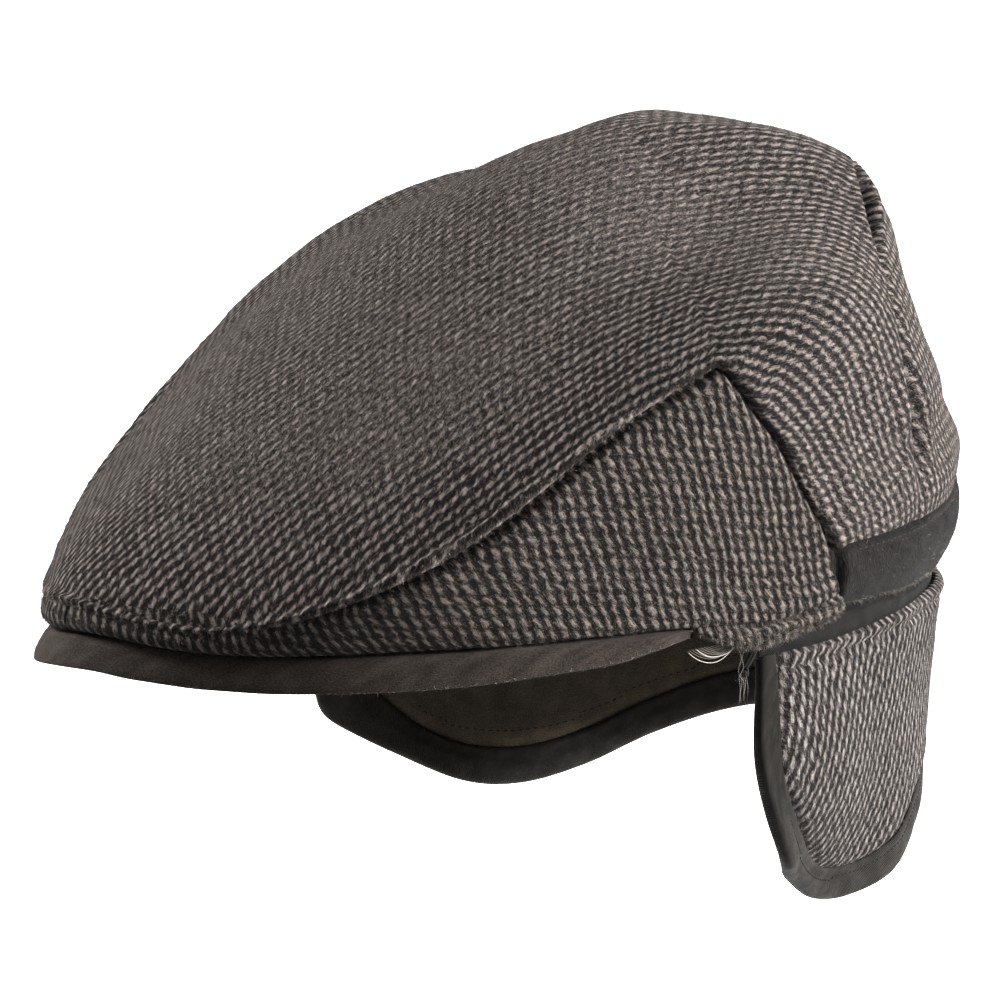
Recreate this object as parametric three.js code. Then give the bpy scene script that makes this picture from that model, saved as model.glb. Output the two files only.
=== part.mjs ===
import * as THREE from 'three';

// Flat cap with a folded-down earflap, in millimetres.
// +Z is up, the peak points to -Y and the wearer's left is +X.
// The origin is the middle of the head opening, at the height of the rim.
// Angles go round the cap from the front (0) over the wearer's left (90) to the back (180).

// Plan of the cap
const CENTRE_Y = 5;
const STRETCH = 1.4;

// Crown
const SECTION_STEP = 22.5;
const APEX_Z = 111.8;
const CLOTH = 2.0;
const GAP = 0.35;
const SEAM_GAP = 0.7;
const SEAM_RIDGE = 0.9;
const SEAM_RIDGE_REACH = 0.12;
const TOP_ROWS = 10;
const TOP_ROW_SPREAD = 1.25;
const SIDE_SEAM_END = 75.5;
const SIDE_PANEL_END = 96;
const SIDE_ROWS = 8;
const SEAM_LEVEL = 2;
const TOP_LEVEL = 5;

// Dart at each side of the back, which leans towards the middle as it climbs
const DART = { depth: 1.5, width: 6.5, lowPhi: 111, highPhi: 136, topLevel: 3.5 };

// The cap sits a little askew: at the front its foot hangs lower on the wearer's right
const LEAN = 6;
const LEAN_START = 8;
const LEAN_SPAN = 93;
const LEAN_SHARE = { foot: 1, belly: 0.7, crest: 0.15, shoulder: 0, slope: 0 };

// Stations of the crown, from the foot to the slope, each as reach and height.
// The side seam runs along the crest.
const CROWN = [
  { foot: [115, 2.5], belly: [116, 5], crest: [115.5, 8], shoulder: [110, 17], slope: [72, 58] },
  { foot: [107.5, 0.5], belly: [110, 3.2], crest: [109.8, 6], shoulder: [107, 13.5], slope: [71, 60] },
  { foot: [99.5, 1.5], belly: [104.5, 13], crest: [106, 24.5], shoulder: [101.5, 30.5], slope: [67.5, 70] },
  { foot: [92, 2], belly: [97, 36.5], crest: [96.5, 59.5], shoulder: [90, 67], slope: [59.5, 84] },
  { foot: [85, 0.5], belly: [89.5, 45], crest: [93.5, 77.5], shoulder: [80, 87], slope: [51, 93.5] },
  { foot: [79.3, 12.8], belly: [81.7, 42.6], crest: [76.5, 70.7], shoulder: [66.7, 89], slope: [46.7, 101.2] },
  { foot: [74, 16], belly: [73, 40], crest: [64, 68.8], shoulder: [59.5, 87.5], slope: [45.5, 105.5] },
  { foot: [71.8, 17.8], belly: [68, 38], crest: [58.5, 66.3], shoulder: [56.5, 86.5], slope: [45, 104.5] },
  { foot: [70.8, 19], belly: [66, 36], crest: [57, 65.5], shoulder: [54.5, 85], slope: [45, 103.5] },
];

// Seam between a side panel and the back: how high it stands on the section at each angle
const REAR_SEAM = [
  { phi: 75.5, level: 2.0 },
  { phi: 79.5, level: 1.48 },
  { phi: 84.0, level: 1.08 },
  { phi: 88.5, level: 0.72 },
  { phi: 94.6, level: 0.3 },
  { phi: 97.0, level: 0.04 },
];
const BACK_FOOT_START = 94.6;

// Band round the back: height of its top edge, and its lower edge
const BAND_TURN = 2.0;
const BAND_START = { low: 98.2, top: 95.4 };
const BAND = [
  { phi: 94.6, top: 15.6, low: [81.6, 0.6] },
  { phi: 112.5, top: 15.8, low: [76.0, -1.4] },
  { phi: 135.0, top: 17.0, low: [70.0, -3.6] },
  { phi: 157.5, top: 18.4, low: [67.6, -4.4] },
  { phi: 180.0, top: 19.2, low: [67.0, -4.8] },
];

// Peak: how far its edge reaches beyond the crown's foot, and how far it drops
const PEAK_END = 73.5;
const PEAK_THICK = 4.2;
const PEAK_EDGE = 4.5;
const OPENING = { halfWidth: 80.5, front: 69.0 };
const PEAK = [
  { phi: 0, reach: 3.4, drop: 4.6 },
  { phi: 22.5, reach: 3.7, drop: 4.9 },
  { phi: 45, reach: 4.8, drop: 4.9 },
  { phi: 67.5, reach: 3.6, drop: 2.0 },
  { phi: 90, reach: 1.0, drop: 0.5 },
];

// Turned hem under the side panels, and the tape that the earflap hangs from
const HEM_START = 74;
const HEM_HEIGHT = 4.6;
const HEM_PROUD = 0.7;
const HEM_TUCK = 0.6;
const HEM_END = 96.3;
const TAPE_THICK = 1.4;
const TAPE = [
  { phi: 83.5, reach: 84.0, top: -5.7, low: -8.8 },
  { phi: 97.0, reach: 81.0, top: -4.2, low: -7.6 },
  { phi: 112.5, reach: 75.6, top: -3.6, low: -7.2 },
  { phi: 135.0, reach: 69.5, top: -4.2, low: -7.6 },
  { phi: 157.5, reach: 67.0, top: -5.0, low: -8.2 },
  { phi: 180.0, reach: 66.4, top: -5.4, low: -8.4 },
];

// Earflap, from its front edge to the middle of the back: angle, reach and height
const FLAP = [
  { top: [83.5, 84.3, -9.2], middle: [79.6, 96.0, -33], low: [82.0, 98.0, -59.5] },
  { top: [88.5, 83.6, -8.8], middle: [86.0, 93.0, -38], low: [87.2, 83.0, -70.0] },
  { top: [95.0, 81.8, -8.2], middle: [94.5, 86.5, -42], low: [95.0, 74.0, -78.6] },
  { top: [104, 79.0, -7.8], middle: [104, 80.0, -43], low: [104, 72.3, -81.0] },
  { top: [114, 75.6, -7.8], middle: [114, 75.6, -41], low: [114.5, 74.0, -77.8] },
  { top: [126, 72.4, -8.0], middle: [126, 71.6, -37], low: [126.5, 71.0, -69.0] },
  { top: [142, 70.0, -8.4], middle: [142, 68.0, -33], low: [142, 66.2, -61.0] },
  { top: [160, 67.5, -8.8], middle: [160, 65.6, -31], low: [160, 64.2, -56.5] },
  { top: [180, 66.8, -9.0], middle: [180, 65.0, -30], low: [180, 63.9, -54.3] },
];
const FLAP_SWAY = 7.5;
const FLAP_SWAY_END = 0.6;
const FLAP_SWAY_CURVE = 1.2;
const FLAP_ROWS = 6;
const FLAP_CLOTH = 1.7;
const LINING_CLOTH = 1.2;
const LINING_GAP = 0.8;
const BINDING_PROUD = 0.4;
const BINDING_THICK = 3.9;
const BINDING_FRONT = 0.066;
const BINDING_WIDTH = 10;
const BINDING_CORNER = 0.17;
const BINDING_CORNER_RISE = 0.34;
const TACK = { width: 2.2, depth: 2.6, height: 7, beyond: 2.2, proud: 1.5, drop: 1.0 };

const WOOL = { color: 0x55514f, roughness: 0.95, metalness: 0 };
const SUEDE = { color: 0x242122, roughness: 0.9, metalness: 0 };
const TWILL = { color: 0x37373a, roughness: 0.7, metalness: 0 };

const lerp = (a, b, t) => a + (b - a) * t;
const clamp = (x, low, high) => Math.min(Math.max(x, low), high);
const radians = (degrees) => degrees * Math.PI / 180;

// Smooth curve from b to c, whose slopes come from the values on either side
function smooth(a, b, c, d, t) {
  const slope = (c - a) * t;
  const square = (2 * a - 5 * b + 4 * c - d) * t * t;
  const cube = (3 * b - a - 3 * c + d) * t * t * t;
  return 0.5 * (2 * b + slope + square + cube);
}

function place(phi, reach, height) {
  const a = radians(phi);
  return new THREE.Vector3(reach * Math.sin(a), CENTRE_Y - STRETCH * reach * Math.cos(a), height);
}

// Value of a table between its rows, in straight steps
function between(rows, phi, read) {
  const last = rows.length - 1;
  let k = 0;
  while (k < last - 1 && rows[k + 1].phi < phi) k += 1;
  const t = clamp((phi - rows[k].phi) / (rows[k + 1].phi - rows[k].phi), 0, 1);
  return lerp(read(rows[k]), read(rows[k + 1]), t);
}

// Angle folded to the wearer's left, from 0 at the front to 180 at the back
function folded(phi) {
  const turn = ((phi % 360) + 360) % 360;
  return turn > 180 ? 360 - turn : turn;
}

function crownRow(index) {
  const last = CROWN.length - 1;
  const turn = ((index % (2 * last)) + 2 * last) % (2 * last);
  return CROWN[turn > last ? 2 * last - turn : turn];
}

function station(phi, name, axis) {
  const f = phi / SECTION_STEP;
  const i = Math.floor(f);
  const value = (k) => crownRow(i + k)[name][axis];
  return smooth(value(-1), value(0), value(1), value(2), f - i);
}

// How far the lean lowers the foot: nothing on the left, most at the right of the front
function leanAt(phi) {
  const turn = ((phi % 360) + 360) % 360;
  const x = (LEAN_START - (turn > 180 ? turn - 360 : turn)) / LEAN_SPAN;
  return x > 0 && x < 1 ? LEAN * Math.pow(Math.sin(Math.PI * Math.pow(x, 0.75)), 2) : 0;
}

// Smooth curve from b to c through points of uneven spacing, which neither loops nor overshoots
function evenCurve(a, b, c, d, t) {
  const span = (p, q) => Math.sqrt(Math.hypot(q[0] - p[0], q[1] - p[1])) + 1e-6;
  const [before, own, after] = [span(a, b), span(b, c), span(c, d)];
  return [0, 1].map((k) => {
    const rise = (c[k] - b[k]) / own;
    const start = own * ((b[k] - a[k]) / before - (c[k] - a[k]) / (before + own) + rise);
    const end = own * (rise - (d[k] - b[k]) / (own + after) + (d[k] - c[k]) / after);
    const square = 3 * (c[k] - b[k]) - 2 * start - end;
    const cube = 2 * (b[k] - c[k]) + start + end;
    return b[k] + t * (start + t * (square + t * cube));
  });
}

// Reach and height of the crown at an angle and a level:
// 0 foot, 1 belly, 2 crest, 3 shoulder, 4 slope, 5 apex
const STATIONS = ['foot', 'belly', 'crest', 'shoulder', 'slope'];
function crownProfile(phi, level) {
  const lean = leanAt(phi);
  const run = STATIONS.map((name) => [station(phi, name, 0), station(phi, name, 1) - lean * LEAN_SHARE[name]]);
  const below = [2 * run[0][0] - run[1][0], 2 * run[0][1] - run[1][1]];
  const apex = [0, APEX_Z];
  const over = [-station(phi + 180, 'slope', 0), station(phi + 180, 'slope', 1)];
  const points = [below, ...run, apex, over];
  const i = clamp(Math.floor(level), 0, TOP_LEVEL - 1);
  return evenCurve(points[i], points[i + 1], points[i + 2], points[i + 3], level - i);
}

function crownPoint(phi, level) {
  const [reach, height] = crownProfile(phi, level);
  return place(phi, reach, height);
}

// Level at which a crown section passes a height, below the belly
function levelAt(phi, height) {
  let low = -0.5;
  let high = 1;
  for (let k = 0; k < 30; k += 1) {
    const middle = (low + high) / 2;
    if (crownProfile(phi, middle)[1] < height) low = middle;
    else high = middle;
  }
  return (low + high) / 2;
}

function rearSeamLevel(phi) {
  return between(REAR_SEAM, phi, (row) => row.level);
}

function sidePanelTop(phi) {
  return phi <= SIDE_SEAM_END ? SEAM_LEVEL : rearSeamLevel(phi);
}

function crownTopFoot(phi) {
  const side = folded(phi);
  if (side <= BACK_FOOT_START) return sidePanelTop(side);
  return levelAt(side, between(BAND, side, (row) => row.top));
}

// Outward normal of a surface, by small steps along its two parameters
function normalOf(surface, u, v, du, dv) {
  const across = surface(u + du, v).sub(surface(u - du, v));
  const up = surface(u, v + dv).sub(surface(u, v - dv));
  return across.cross(up).normalize();
}

// Closed mesh between an outer and an inner grid of points.
// A ring closes on itself round u, and a pole closes the last row to one point.
function closedShell(outer, inner, { ring = false, pole = false } = {}) {
  const nu = outer.length;
  const nv = outer[0].length;
  const positions = [];
  const index = [];
  const ids = [outer, inner].map((grid) => {
    let polePoint = -1;
    return grid.map((column) => column.map((point, j) => {
      if (pole && j === nv - 1 && polePoint >= 0) return polePoint;
      positions.push(point.x, point.y, point.z);
      const id = positions.length / 3 - 1;
      if (pole && j === nv - 1) polePoint = id;
      return id;
    }));
  });
  const triangle = (a, b, c) => {
    if (a !== b && b !== c && c !== a) index.push(a, b, c);
  };
  const quad = (a, b, c, d) => {
    triangle(a, b, c);
    triangle(a, c, d);
  };
  const [o, n] = ids;
  const columns = ring ? nu : nu - 1;
  for (let i = 0; i < columns; i += 1) {
    const k = (i + 1) % nu;
    for (let j = 0; j < nv - 1; j += 1) {
      quad(o[i][j], o[k][j], o[k][j + 1], o[i][j + 1]);
      quad(n[i][j], n[i][j + 1], n[k][j + 1], n[k][j]);
    }
    quad(o[k][0], o[i][0], n[i][0], n[k][0]);
    if (!pole) quad(o[i][nv - 1], o[k][nv - 1], n[k][nv - 1], n[i][nv - 1]);
  }
  if (!ring) {
    const e = nu - 1;
    for (let j = 0; j < nv - 1; j += 1) {
      quad(o[0][j], o[0][j + 1], n[0][j + 1], n[0][j]);
      quad(o[e][j + 1], o[e][j], n[e][j], n[e][j + 1]);
    }
  }
  const geometry = new THREE.BufferGeometry();
  geometry.setAttribute('position', new THREE.Float32BufferAttribute(positions, 3));
  geometry.setIndex(index);
  return geometry;
}

function piece(name, geometry, finish) {
  const mesh = new THREE.Mesh(geometry, new THREE.MeshStandardMaterial(finish));
  mesh.name = name;
  return mesh;
}

// Values from a to b in n equal steps
function steps(a, b, n) {
  return Array.from({ length: n + 1 }, (_, k) => lerp(a, b, k / n));
}

// Angles along one side, close together where the rear seam climbs
const SEAM_ANGLES = [77, 79.5, 82, 84.5, 87, 89.5, 92];
const SIDE_ANGLES = [...steps(0, 70, 14), 73, SIDE_SEAM_END, ...SEAM_ANGLES];

// Depth of the dart's crease at a point of the crown
function dartAt(phi, level, point) {
  const climb = level / DART.topLevel;
  const crease = lerp(DART.lowPhi, DART.highPhi, climb);
  const across = radians(folded(phi) - crease) * Math.hypot(point.x, point.y - CENTRE_Y) / DART.width;
  const fade = clamp((1 - climb) * 4, 0, 1);
  return DART.depth * fade * Math.exp(-across * across);
}

function crownTop() {
  const half = [...SIDE_ANGLES, BACK_FOOT_START, 96.5, 100, ...steps(105, 175, 14)];
  const angles = [...half, 180, ...half.slice(1).reverse().map((phi) => 360 - phi)];
  const skin = (offset) => angles.map((phi) => steps(0, 1, TOP_ROWS).map((v) => {
    const foot = crownTopFoot(phi);
    const level = lerp(foot, TOP_LEVEL, Math.pow(v, TOP_ROW_SPREAD));
    const point = crownPoint(phi, level);
    if (v === 1) return point.add(new THREE.Vector3(0, 0, offset));
    const ridge = folded(phi) < BACK_FOOT_START ? SEAM_RIDGE * Math.exp(-(level - foot) / SEAM_RIDGE_REACH) : 0;
    const dart = dartAt(phi, level, point);
    const normal = normalOf(crownPoint, phi, clamp(level, 0, 4.9), 0.05, 0.01);
    return point.add(normal.multiplyScalar(offset + (offset < 0 ? 0 : ridge) - dart));
  }));
  return piece('crown_top', closedShell(skin(0), skin(-CLOTH), { ring: true, pole: true }), WOOL);
}

// The same shell on the wearer's left and on the right, from a skin that takes signed angles
function bothSides(name, angles, skin, thick, finish) {
  const right = angles.map((phi) => -phi).reverse();
  return [
    piece(`${name}_left`, closedShell(skin(angles, 0), skin(angles, -thick)), finish),
    piece(`${name}_right`, closedShell(skin(right, 0), skin(right, -thick)), finish),
  ];
}

function sidePanels() {
  const start = 0.12;
  const angles = [start, ...SIDE_ANGLES.slice(1), BACK_FOOT_START, SIDE_PANEL_END];
  const skin = (run, offset) => run.map((phi) => {
    const seam = sidePanelTop(Math.abs(phi));
    const rise = crownPoint(phi, seam).distanceTo(crownPoint(phi, seam - 0.05)) / 0.05;
    const top = Math.max(seam - SEAM_GAP / rise, 0.02);
    return steps(0, 1, SIDE_ROWS).map((v) => {
      const level = top * v;
      const normal = normalOf(crownPoint, phi, level, 0.05, 0.01);
      return crownPoint(phi, level).add(normal.multiplyScalar(offset));
    });
  });
  return bothSides('side_panel', angles, skin, CLOTH, WOOL);
}

function openingReach(phi) {
  const a = radians(phi);
  return 1 / Math.hypot(Math.sin(a) / OPENING.halfWidth, Math.cos(a) / OPENING.front);
}

// The peak's board: flat from the head opening to the crown's foot, then turned down to its edge
function peakSection(phi) {
  const side = folded(phi);
  const [foot, height] = crownProfile(phi, 0);
  const top = height - GAP;
  const reach = between(PEAK, side, (row) => row.reach);
  const drop = between(PEAK, side, (row) => row.drop);
  const inner = openingReach(phi);
  const flat = [0, 0.35, 0.7, 0.97].map((t) => ({ reach: lerp(inner, foot, t), top, thick: PEAK_THICK }));
  const turned = [0.3, 0.6, 0.8, 0.93, 1].map((t) => {
    const round = Math.sqrt(1 - Math.pow(Math.max(t - 0.3, 0) / 0.72, 2));
    const thick = PEAK_EDGE * round;
    const middle = top - drop * Math.pow(t, 1.3) - PEAK_EDGE / 2;
    return { reach: foot + reach * t, top: middle + thick / 2, thick };
  });
  return [...flat, ...turned];
}

function peak() {
  const angles = steps(-PEAK_END, PEAK_END, 36);
  const outer = angles.map((phi) => peakSection(phi).map((s) => place(phi, s.reach, s.top)).reverse());
  const inner = angles.map((phi) => peakSection(phi).map((s) => place(phi, s.reach, s.top - s.thick)).reverse());
  return piece('peak', closedShell(outer, inner), SUEDE);
}

function hemStrips() {
  const angles = [HEM_START, ...SEAM_ANGLES.filter((phi) => phi > HEM_START), BACK_FOOT_START, HEM_END];
  const skin = (run, offset) => run.map((phi) => {
    const [reach, height] = crownProfile(phi, 0);
    return [0, 0.25, 0.6, 1].map((v) => {
      const bulge = HEM_PROUD * Math.sin(Math.PI * v);
      return place(phi, reach + offset + bulge - HEM_TUCK * (1 - v), height - GAP - HEM_HEIGHT * (1 - v));
    });
  });
  return bothSides('hem_strip', angles, skin, CLOTH, WOOL);
}

function bandPoint(phi, v) {
  const side = folded(phi);
  const top = between(BAND, side, (row) => row.top) - GAP;
  const topReach = crownProfile(side, levelAt(side, top))[0];
  const lowReach = between(BAND, side, (row) => row.low[0]);
  const lowHeight = between(BAND, side, (row) => row.low[1]);
  const reach = lerp(lowReach, topReach, Math.sin(Math.PI / 2 * v)) + BAND_TURN * Math.sin(Math.PI * v);
  return place(phi, reach, lerp(lowHeight, top, v));
}

function backBand() {
  const skin = (offset) => steps(0, 1, 34).map((u) => steps(0, 1, 6).map((v) => {
    const start = lerp(BAND_START.low, BAND_START.top, v);
    const phi = lerp(start, 360 - start, u);
    return bandPoint(phi, v).add(normalOf(bandPoint, phi, v, 0.05, 0.01).multiplyScalar(offset));
  }));
  return piece('back_band', closedShell(skin(0), skin(-CLOTH)), SUEDE);
}

function flapTape() {
  const angles = steps(TAPE[0].phi, 360 - TAPE[0].phi, 40);
  const skin = (offset) => angles.map((phi) => [0, 1].map((v) => {
    const side = folded(phi);
    const reach = between(TAPE, side, (row) => row.reach);
    const height = lerp(between(TAPE, side, (row) => row.low), between(TAPE, side, (row) => row.top), v);
    return place(phi, reach + offset, height);
  }));
  return piece('flap_tape', closedShell(skin(0), skin(-TAPE_THICK)), TWILL);
}

// Row of the earflap table, carried on past the front edge and mirrored past the middle of the back
function flapRow(index, name) {
  const last = FLAP.length - 1;
  if (index < 0) return FLAP[0][name].map((value, k) => 2 * value - FLAP[1][name][k]);
  if (index <= last) return FLAP[index][name];
  const [phi, reach, height] = FLAP[2 * last - index][name];
  return [360 - phi, reach, height];
}

// Point of the earflap: s from its front edge (0) to the middle of the back (1), w from its top to its lower edge
function flapHalf(s, w) {
  const f = s * (FLAP.length - 1);
  const i = clamp(Math.floor(f), -1, FLAP.length - 1);
  const [top, middle, low] = ['top', 'middle', 'low'].map((name) => {
    const rows = [-1, 0, 1, 2].map((k) => flapRow(Math.max(i + k, -1), name));
    return [0, 1, 2].map((axis) => smooth(...rows.map((row) => row[axis]), f - i));
  });
  const [phi, reach, height] = [0, 1, 2].map((axis) => {
    const before = 2 * top[axis] - middle[axis];
    const after = 2 * low[axis] - middle[axis];
    return w < 0.5
      ? smooth(before, top[axis], middle[axis], low[axis], w * 2)
      : smooth(top[axis], middle[axis], low[axis], after, w * 2 - 1);
  });
  return place(phi, reach, height);
}

// The whole earflap: q runs from the left front edge (0) round the back (1) to the right front edge (2)
function flapPoint(q, w) {
  const left = q <= 1;
  const s = left ? q : 2 - q;
  const point = flapHalf(s, w);
  const front = Math.pow(clamp(1 - s / FLAP_SWAY_END, 0, 1), FLAP_SWAY_CURVE);
  point.y += (left ? 1 : -1) * FLAP_SWAY * front * w;
  if (!left) point.x = -point.x;
  return point;
}

function flapOffset(q, w, offset) {
  const up = (a, b) => flapPoint(a, 1 - b);
  const normal = normalOf(up, clamp(q, 0.004, 1.996), clamp(1 - w, 0.004, 0.996), 0.003, 0.003);
  return flapPoint(q, w).add(normal.multiplyScalar(offset));
}

function flapLength(s) {
  const points = steps(0, 1, 8).map((w) => flapHalf(s, w));
  return points.slice(1).reduce((sum, p, k) => sum + p.distanceTo(points[k]), 0);
}

// Lower border of the cloth inside the binding, rounded near the front edge
function clothLow(s) {
  const full = 1 - BINDING_WIDTH / flapLength(s);
  const x = clamp((s - BINDING_FRONT) / BINDING_CORNER, 0, 1);
  return full - BINDING_CORNER_RISE * (1 - Math.sqrt(1 - (1 - x) * (1 - x)));
}

// Places along half of the cloth, close together at the rounded corner
function clothPlaces() {
  const corner = [0, 0.04, 0.12, 0.25, 0.42, 0.65].map((t) => BINDING_FRONT + BINDING_CORNER * t);
  const rest = steps(BINDING_FRONT + BINDING_CORNER, 1, 14);
  return [...corner, ...rest];
}

function flapPanel(name, outerOffset, thick, rows, finish) {
  const half = clothPlaces();
  const along = [...half, ...half.slice(0, -1).reverse().map((s) => 2 - s)];
  const skin = (offset) => along.map((q) => steps(1, 0, rows).map((v) => {
    const s = q <= 1 ? q : 2 - q;
    return flapOffset(q, clothLow(s) * v, offset);
  }));
  return piece(name, closedShell(skin(outerOffset), skin(outerOffset - thick)), finish);
}

// The binding follows the front edge down, turns the corner and follows the lower edge
function bindingPlaces() {
  const gapAlong = 0.003;
  const gapDown = 0.006;
  const corner = clothLow(BINDING_FRONT) + gapDown;
  const down = steps(0, 1, 9).map((t) => ({
    edge: [0, t * 0.88],
    inside: [BINDING_FRONT - gapAlong, corner * t],
  }));
  const turn = clothPlaces().slice(1).map((s, k) => ({
    edge: [k < 2 ? 0 : lerp(0, s, clamp((k - 1) / 6, 0, 1)), k === 0 ? 0.94 : 1],
    inside: [s, clothLow(s) + gapDown],
  }));
  return [...down, ...turn];
}

function earflapBinding() {
  const half = bindingPlaces();
  const otherHalf = half.slice(0, -1).reverse().map((p) => ({
    edge: [2 - p.edge[0], p.edge[1]],
    inside: [2 - p.inside[0], p.inside[1]],
  }));
  const across = [0, 0.1, 0.3, 0.65, 1];
  const middle = BINDING_PROUD - BINDING_THICK / 2;
  const skin = (side) => [...half, ...otherHalf].map((p) => across.map((k) => {
    const round = Math.sqrt(1 - Math.pow(1 - clamp(k / 0.3, 0, 1), 2) * 0.9);
    const q = lerp(p.edge[0], p.inside[0], k);
    const w = lerp(p.edge[1], p.inside[1], k);
    return flapOffset(q, w, middle + side * round * BINDING_THICK / 2);
  }));
  return piece('earflap_binding', closedShell(skin(1), skin(-1)), TWILL);
}

function tacks() {
  const [phi, reach, height] = FLAP[0].top;
  return [1, -1].map((side) => {
    const mesh = piece(
      side > 0 ? 'flap_tack_left' : 'flap_tack_right',
      new THREE.BoxGeometry(TACK.depth, TACK.width, TACK.height),
      TWILL,
    );
    mesh.position.copy(place(side * (phi - TACK.beyond), reach - TACK.proud, height - TACK.drop));
    return mesh;
  });
}

const group = new THREE.Group();
group.add(crownTop());
group.add(...sidePanels());
group.add(peak());
group.add(backBand());
group.add(...hemStrips());
group.add(flapTape());
group.add(flapPanel('earflap_cloth', 0, FLAP_CLOTH, FLAP_ROWS, WOOL));
group.add(flapPanel('earflap_lining', -FLAP_CLOTH - LINING_GAP, LINING_CLOTH, FLAP_ROWS, SUEDE));
group.add(earflapBinding());
group.add(...tacks());

export default group;
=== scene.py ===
# %% [markdown]
# # A flat cap with its earflap folded down
#
# The cap is brushed wool in small birdseye marks, with a peak, a back band and a flap lining of black suede
# cloth and a satin twill binding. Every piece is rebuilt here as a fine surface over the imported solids: the
# solids say where each piece is, and the surfaces add folds, seams, stitches and the nap.
# A scanned hat or a cloth simulation could give the folds too, but a formula for each piece stays exact
# against the solids and can be read, so each piece is a function of two parameters, worked out with numpy.

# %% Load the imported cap
import bmesh
import bpy
import numpy as np
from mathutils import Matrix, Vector


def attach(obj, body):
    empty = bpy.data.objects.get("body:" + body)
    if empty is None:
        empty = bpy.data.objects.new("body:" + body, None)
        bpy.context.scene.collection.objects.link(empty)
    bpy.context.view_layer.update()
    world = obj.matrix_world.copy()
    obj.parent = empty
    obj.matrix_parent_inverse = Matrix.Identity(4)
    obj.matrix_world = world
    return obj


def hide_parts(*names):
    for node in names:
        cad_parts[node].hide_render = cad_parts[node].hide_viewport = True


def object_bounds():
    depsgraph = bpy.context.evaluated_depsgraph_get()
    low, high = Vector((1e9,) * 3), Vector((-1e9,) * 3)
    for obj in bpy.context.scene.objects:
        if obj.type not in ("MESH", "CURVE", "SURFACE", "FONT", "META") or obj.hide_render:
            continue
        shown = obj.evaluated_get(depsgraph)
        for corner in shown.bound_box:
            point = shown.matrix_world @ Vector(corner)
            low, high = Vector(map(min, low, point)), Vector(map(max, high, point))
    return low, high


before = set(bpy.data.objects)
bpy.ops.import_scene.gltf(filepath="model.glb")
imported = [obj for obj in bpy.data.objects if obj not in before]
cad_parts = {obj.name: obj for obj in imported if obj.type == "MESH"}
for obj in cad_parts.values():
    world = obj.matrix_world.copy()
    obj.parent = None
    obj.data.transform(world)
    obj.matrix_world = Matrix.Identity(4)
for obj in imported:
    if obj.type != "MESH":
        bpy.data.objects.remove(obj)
cad_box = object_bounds()
MM = 0.001
size_mm = [round((high - low) / MM, 1) for low, high in zip(*cad_box)]
print("the solids measure", size_mm, "mm")

# %% [markdown]
# ## The camera
#
# The cap is seen from its front left, a little above the rim. A long lens from a metre and a half keeps the
# far side nearly as large as the near side. The lens follows from the scale wanted at the cap.

# %% Camera
IMAGE_PIXELS = 1001
PIXELS_PER_MM = 3.9
AZIMUTH, ELEVATION = np.radians(55.0), np.radians(12.4)
DISTANCE_MM = 1500.0
AIM_MM = np.array([0.0, -28.0, 18.0])
SENSOR = 36.0
NEAREST_M, FARTHEST_M = 0.05, 30.0

towards_camera = np.array([
    np.sin(AZIMUTH) * np.cos(ELEVATION), -np.cos(AZIMUTH) * np.cos(ELEVATION), np.sin(ELEVATION)])
camera = bpy.data.objects.new("camera", bpy.data.cameras.new("camera"))
bpy.context.scene.collection.objects.link(camera)
camera.data.sensor_width = SENSOR
camera.data.lens = PIXELS_PER_MM * DISTANCE_MM / IMAGE_PIXELS * SENSOR
camera.location = Vector((AIM_MM + towards_camera * DISTANCE_MM) * MM)
camera.rotation_mode = "QUATERNION"
camera.rotation_quaternion = Vector(-towards_camera).to_track_quat("-Z", "Y")
camera.data.clip_start, camera.data.clip_end = NEAREST_M, FARTHEST_M
bpy.context.scene.camera = camera
print("lens", round(camera.data.lens, 1), "mm")

# %% [markdown]
# ## Turning arrays into pieces
#
# Cloth is a wall with two faces. One function joins an outer grid of points to an inner one along their
# borders, so every wall is closed. A grid may close on itself, as the crown does round the head, and its last
# row may close to one point. Each point also keeps its place on the flat cloth as a UV map called cloth, so
# that a weave follows the surface. Wool keeps a third number, how far brushing has blurred it there.

# %% Walls from two grids
def border_quads(a, b):
    """Quads between two rows of point numbers of the same length, one for each step along them."""
    return np.stack([a[:-1], a[1:], b[1:], b[:-1]], -1)


def grid_quads(ids):
    """Quads of a grid of point numbers, anticlockwise where the first index runs right and the next up."""
    return np.stack([ids[:-1, :-1], ids[1:, :-1], ids[1:, 1:], ids[:-1, 1:]], -1).reshape(-1, 4)


def wall_mesh(outer, inner, outer_cloth, inner_cloth, ring=False, pole=False):
    """Points, faces and cloth places of a closed wall: outer grid, inner grid turned round, and borders."""
    ids = np.arange(outer[..., 0].size).reshape(outer.shape[:2])
    inside = ids.size + np.arange(inner[..., 0].size).reshape(inner.shape[:2])
    if ring:
        ids, inside = (np.concatenate([g, g[:1]]) for g in (ids, inside))
    faces = [grid_quads(ids), grid_quads(inside)[:, ::-1], border_quads(inside[:, 0], ids[:, 0])]
    if not pole:
        faces.append(border_quads(ids[:, -1], inside[:, -1]))
    if not ring:
        faces.append(border_quads(ids[0], inside[0]))
        faces.append(border_quads(inside[-1], ids[-1]))
    points = np.concatenate([outer.reshape(-1, 3), inner.reshape(-1, 3)])
    cloth = np.concatenate([c.reshape(-1, c.shape[-1]) for c in (outer_cloth, inner_cloth)])
    return points, np.concatenate(faces), cloth


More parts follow.
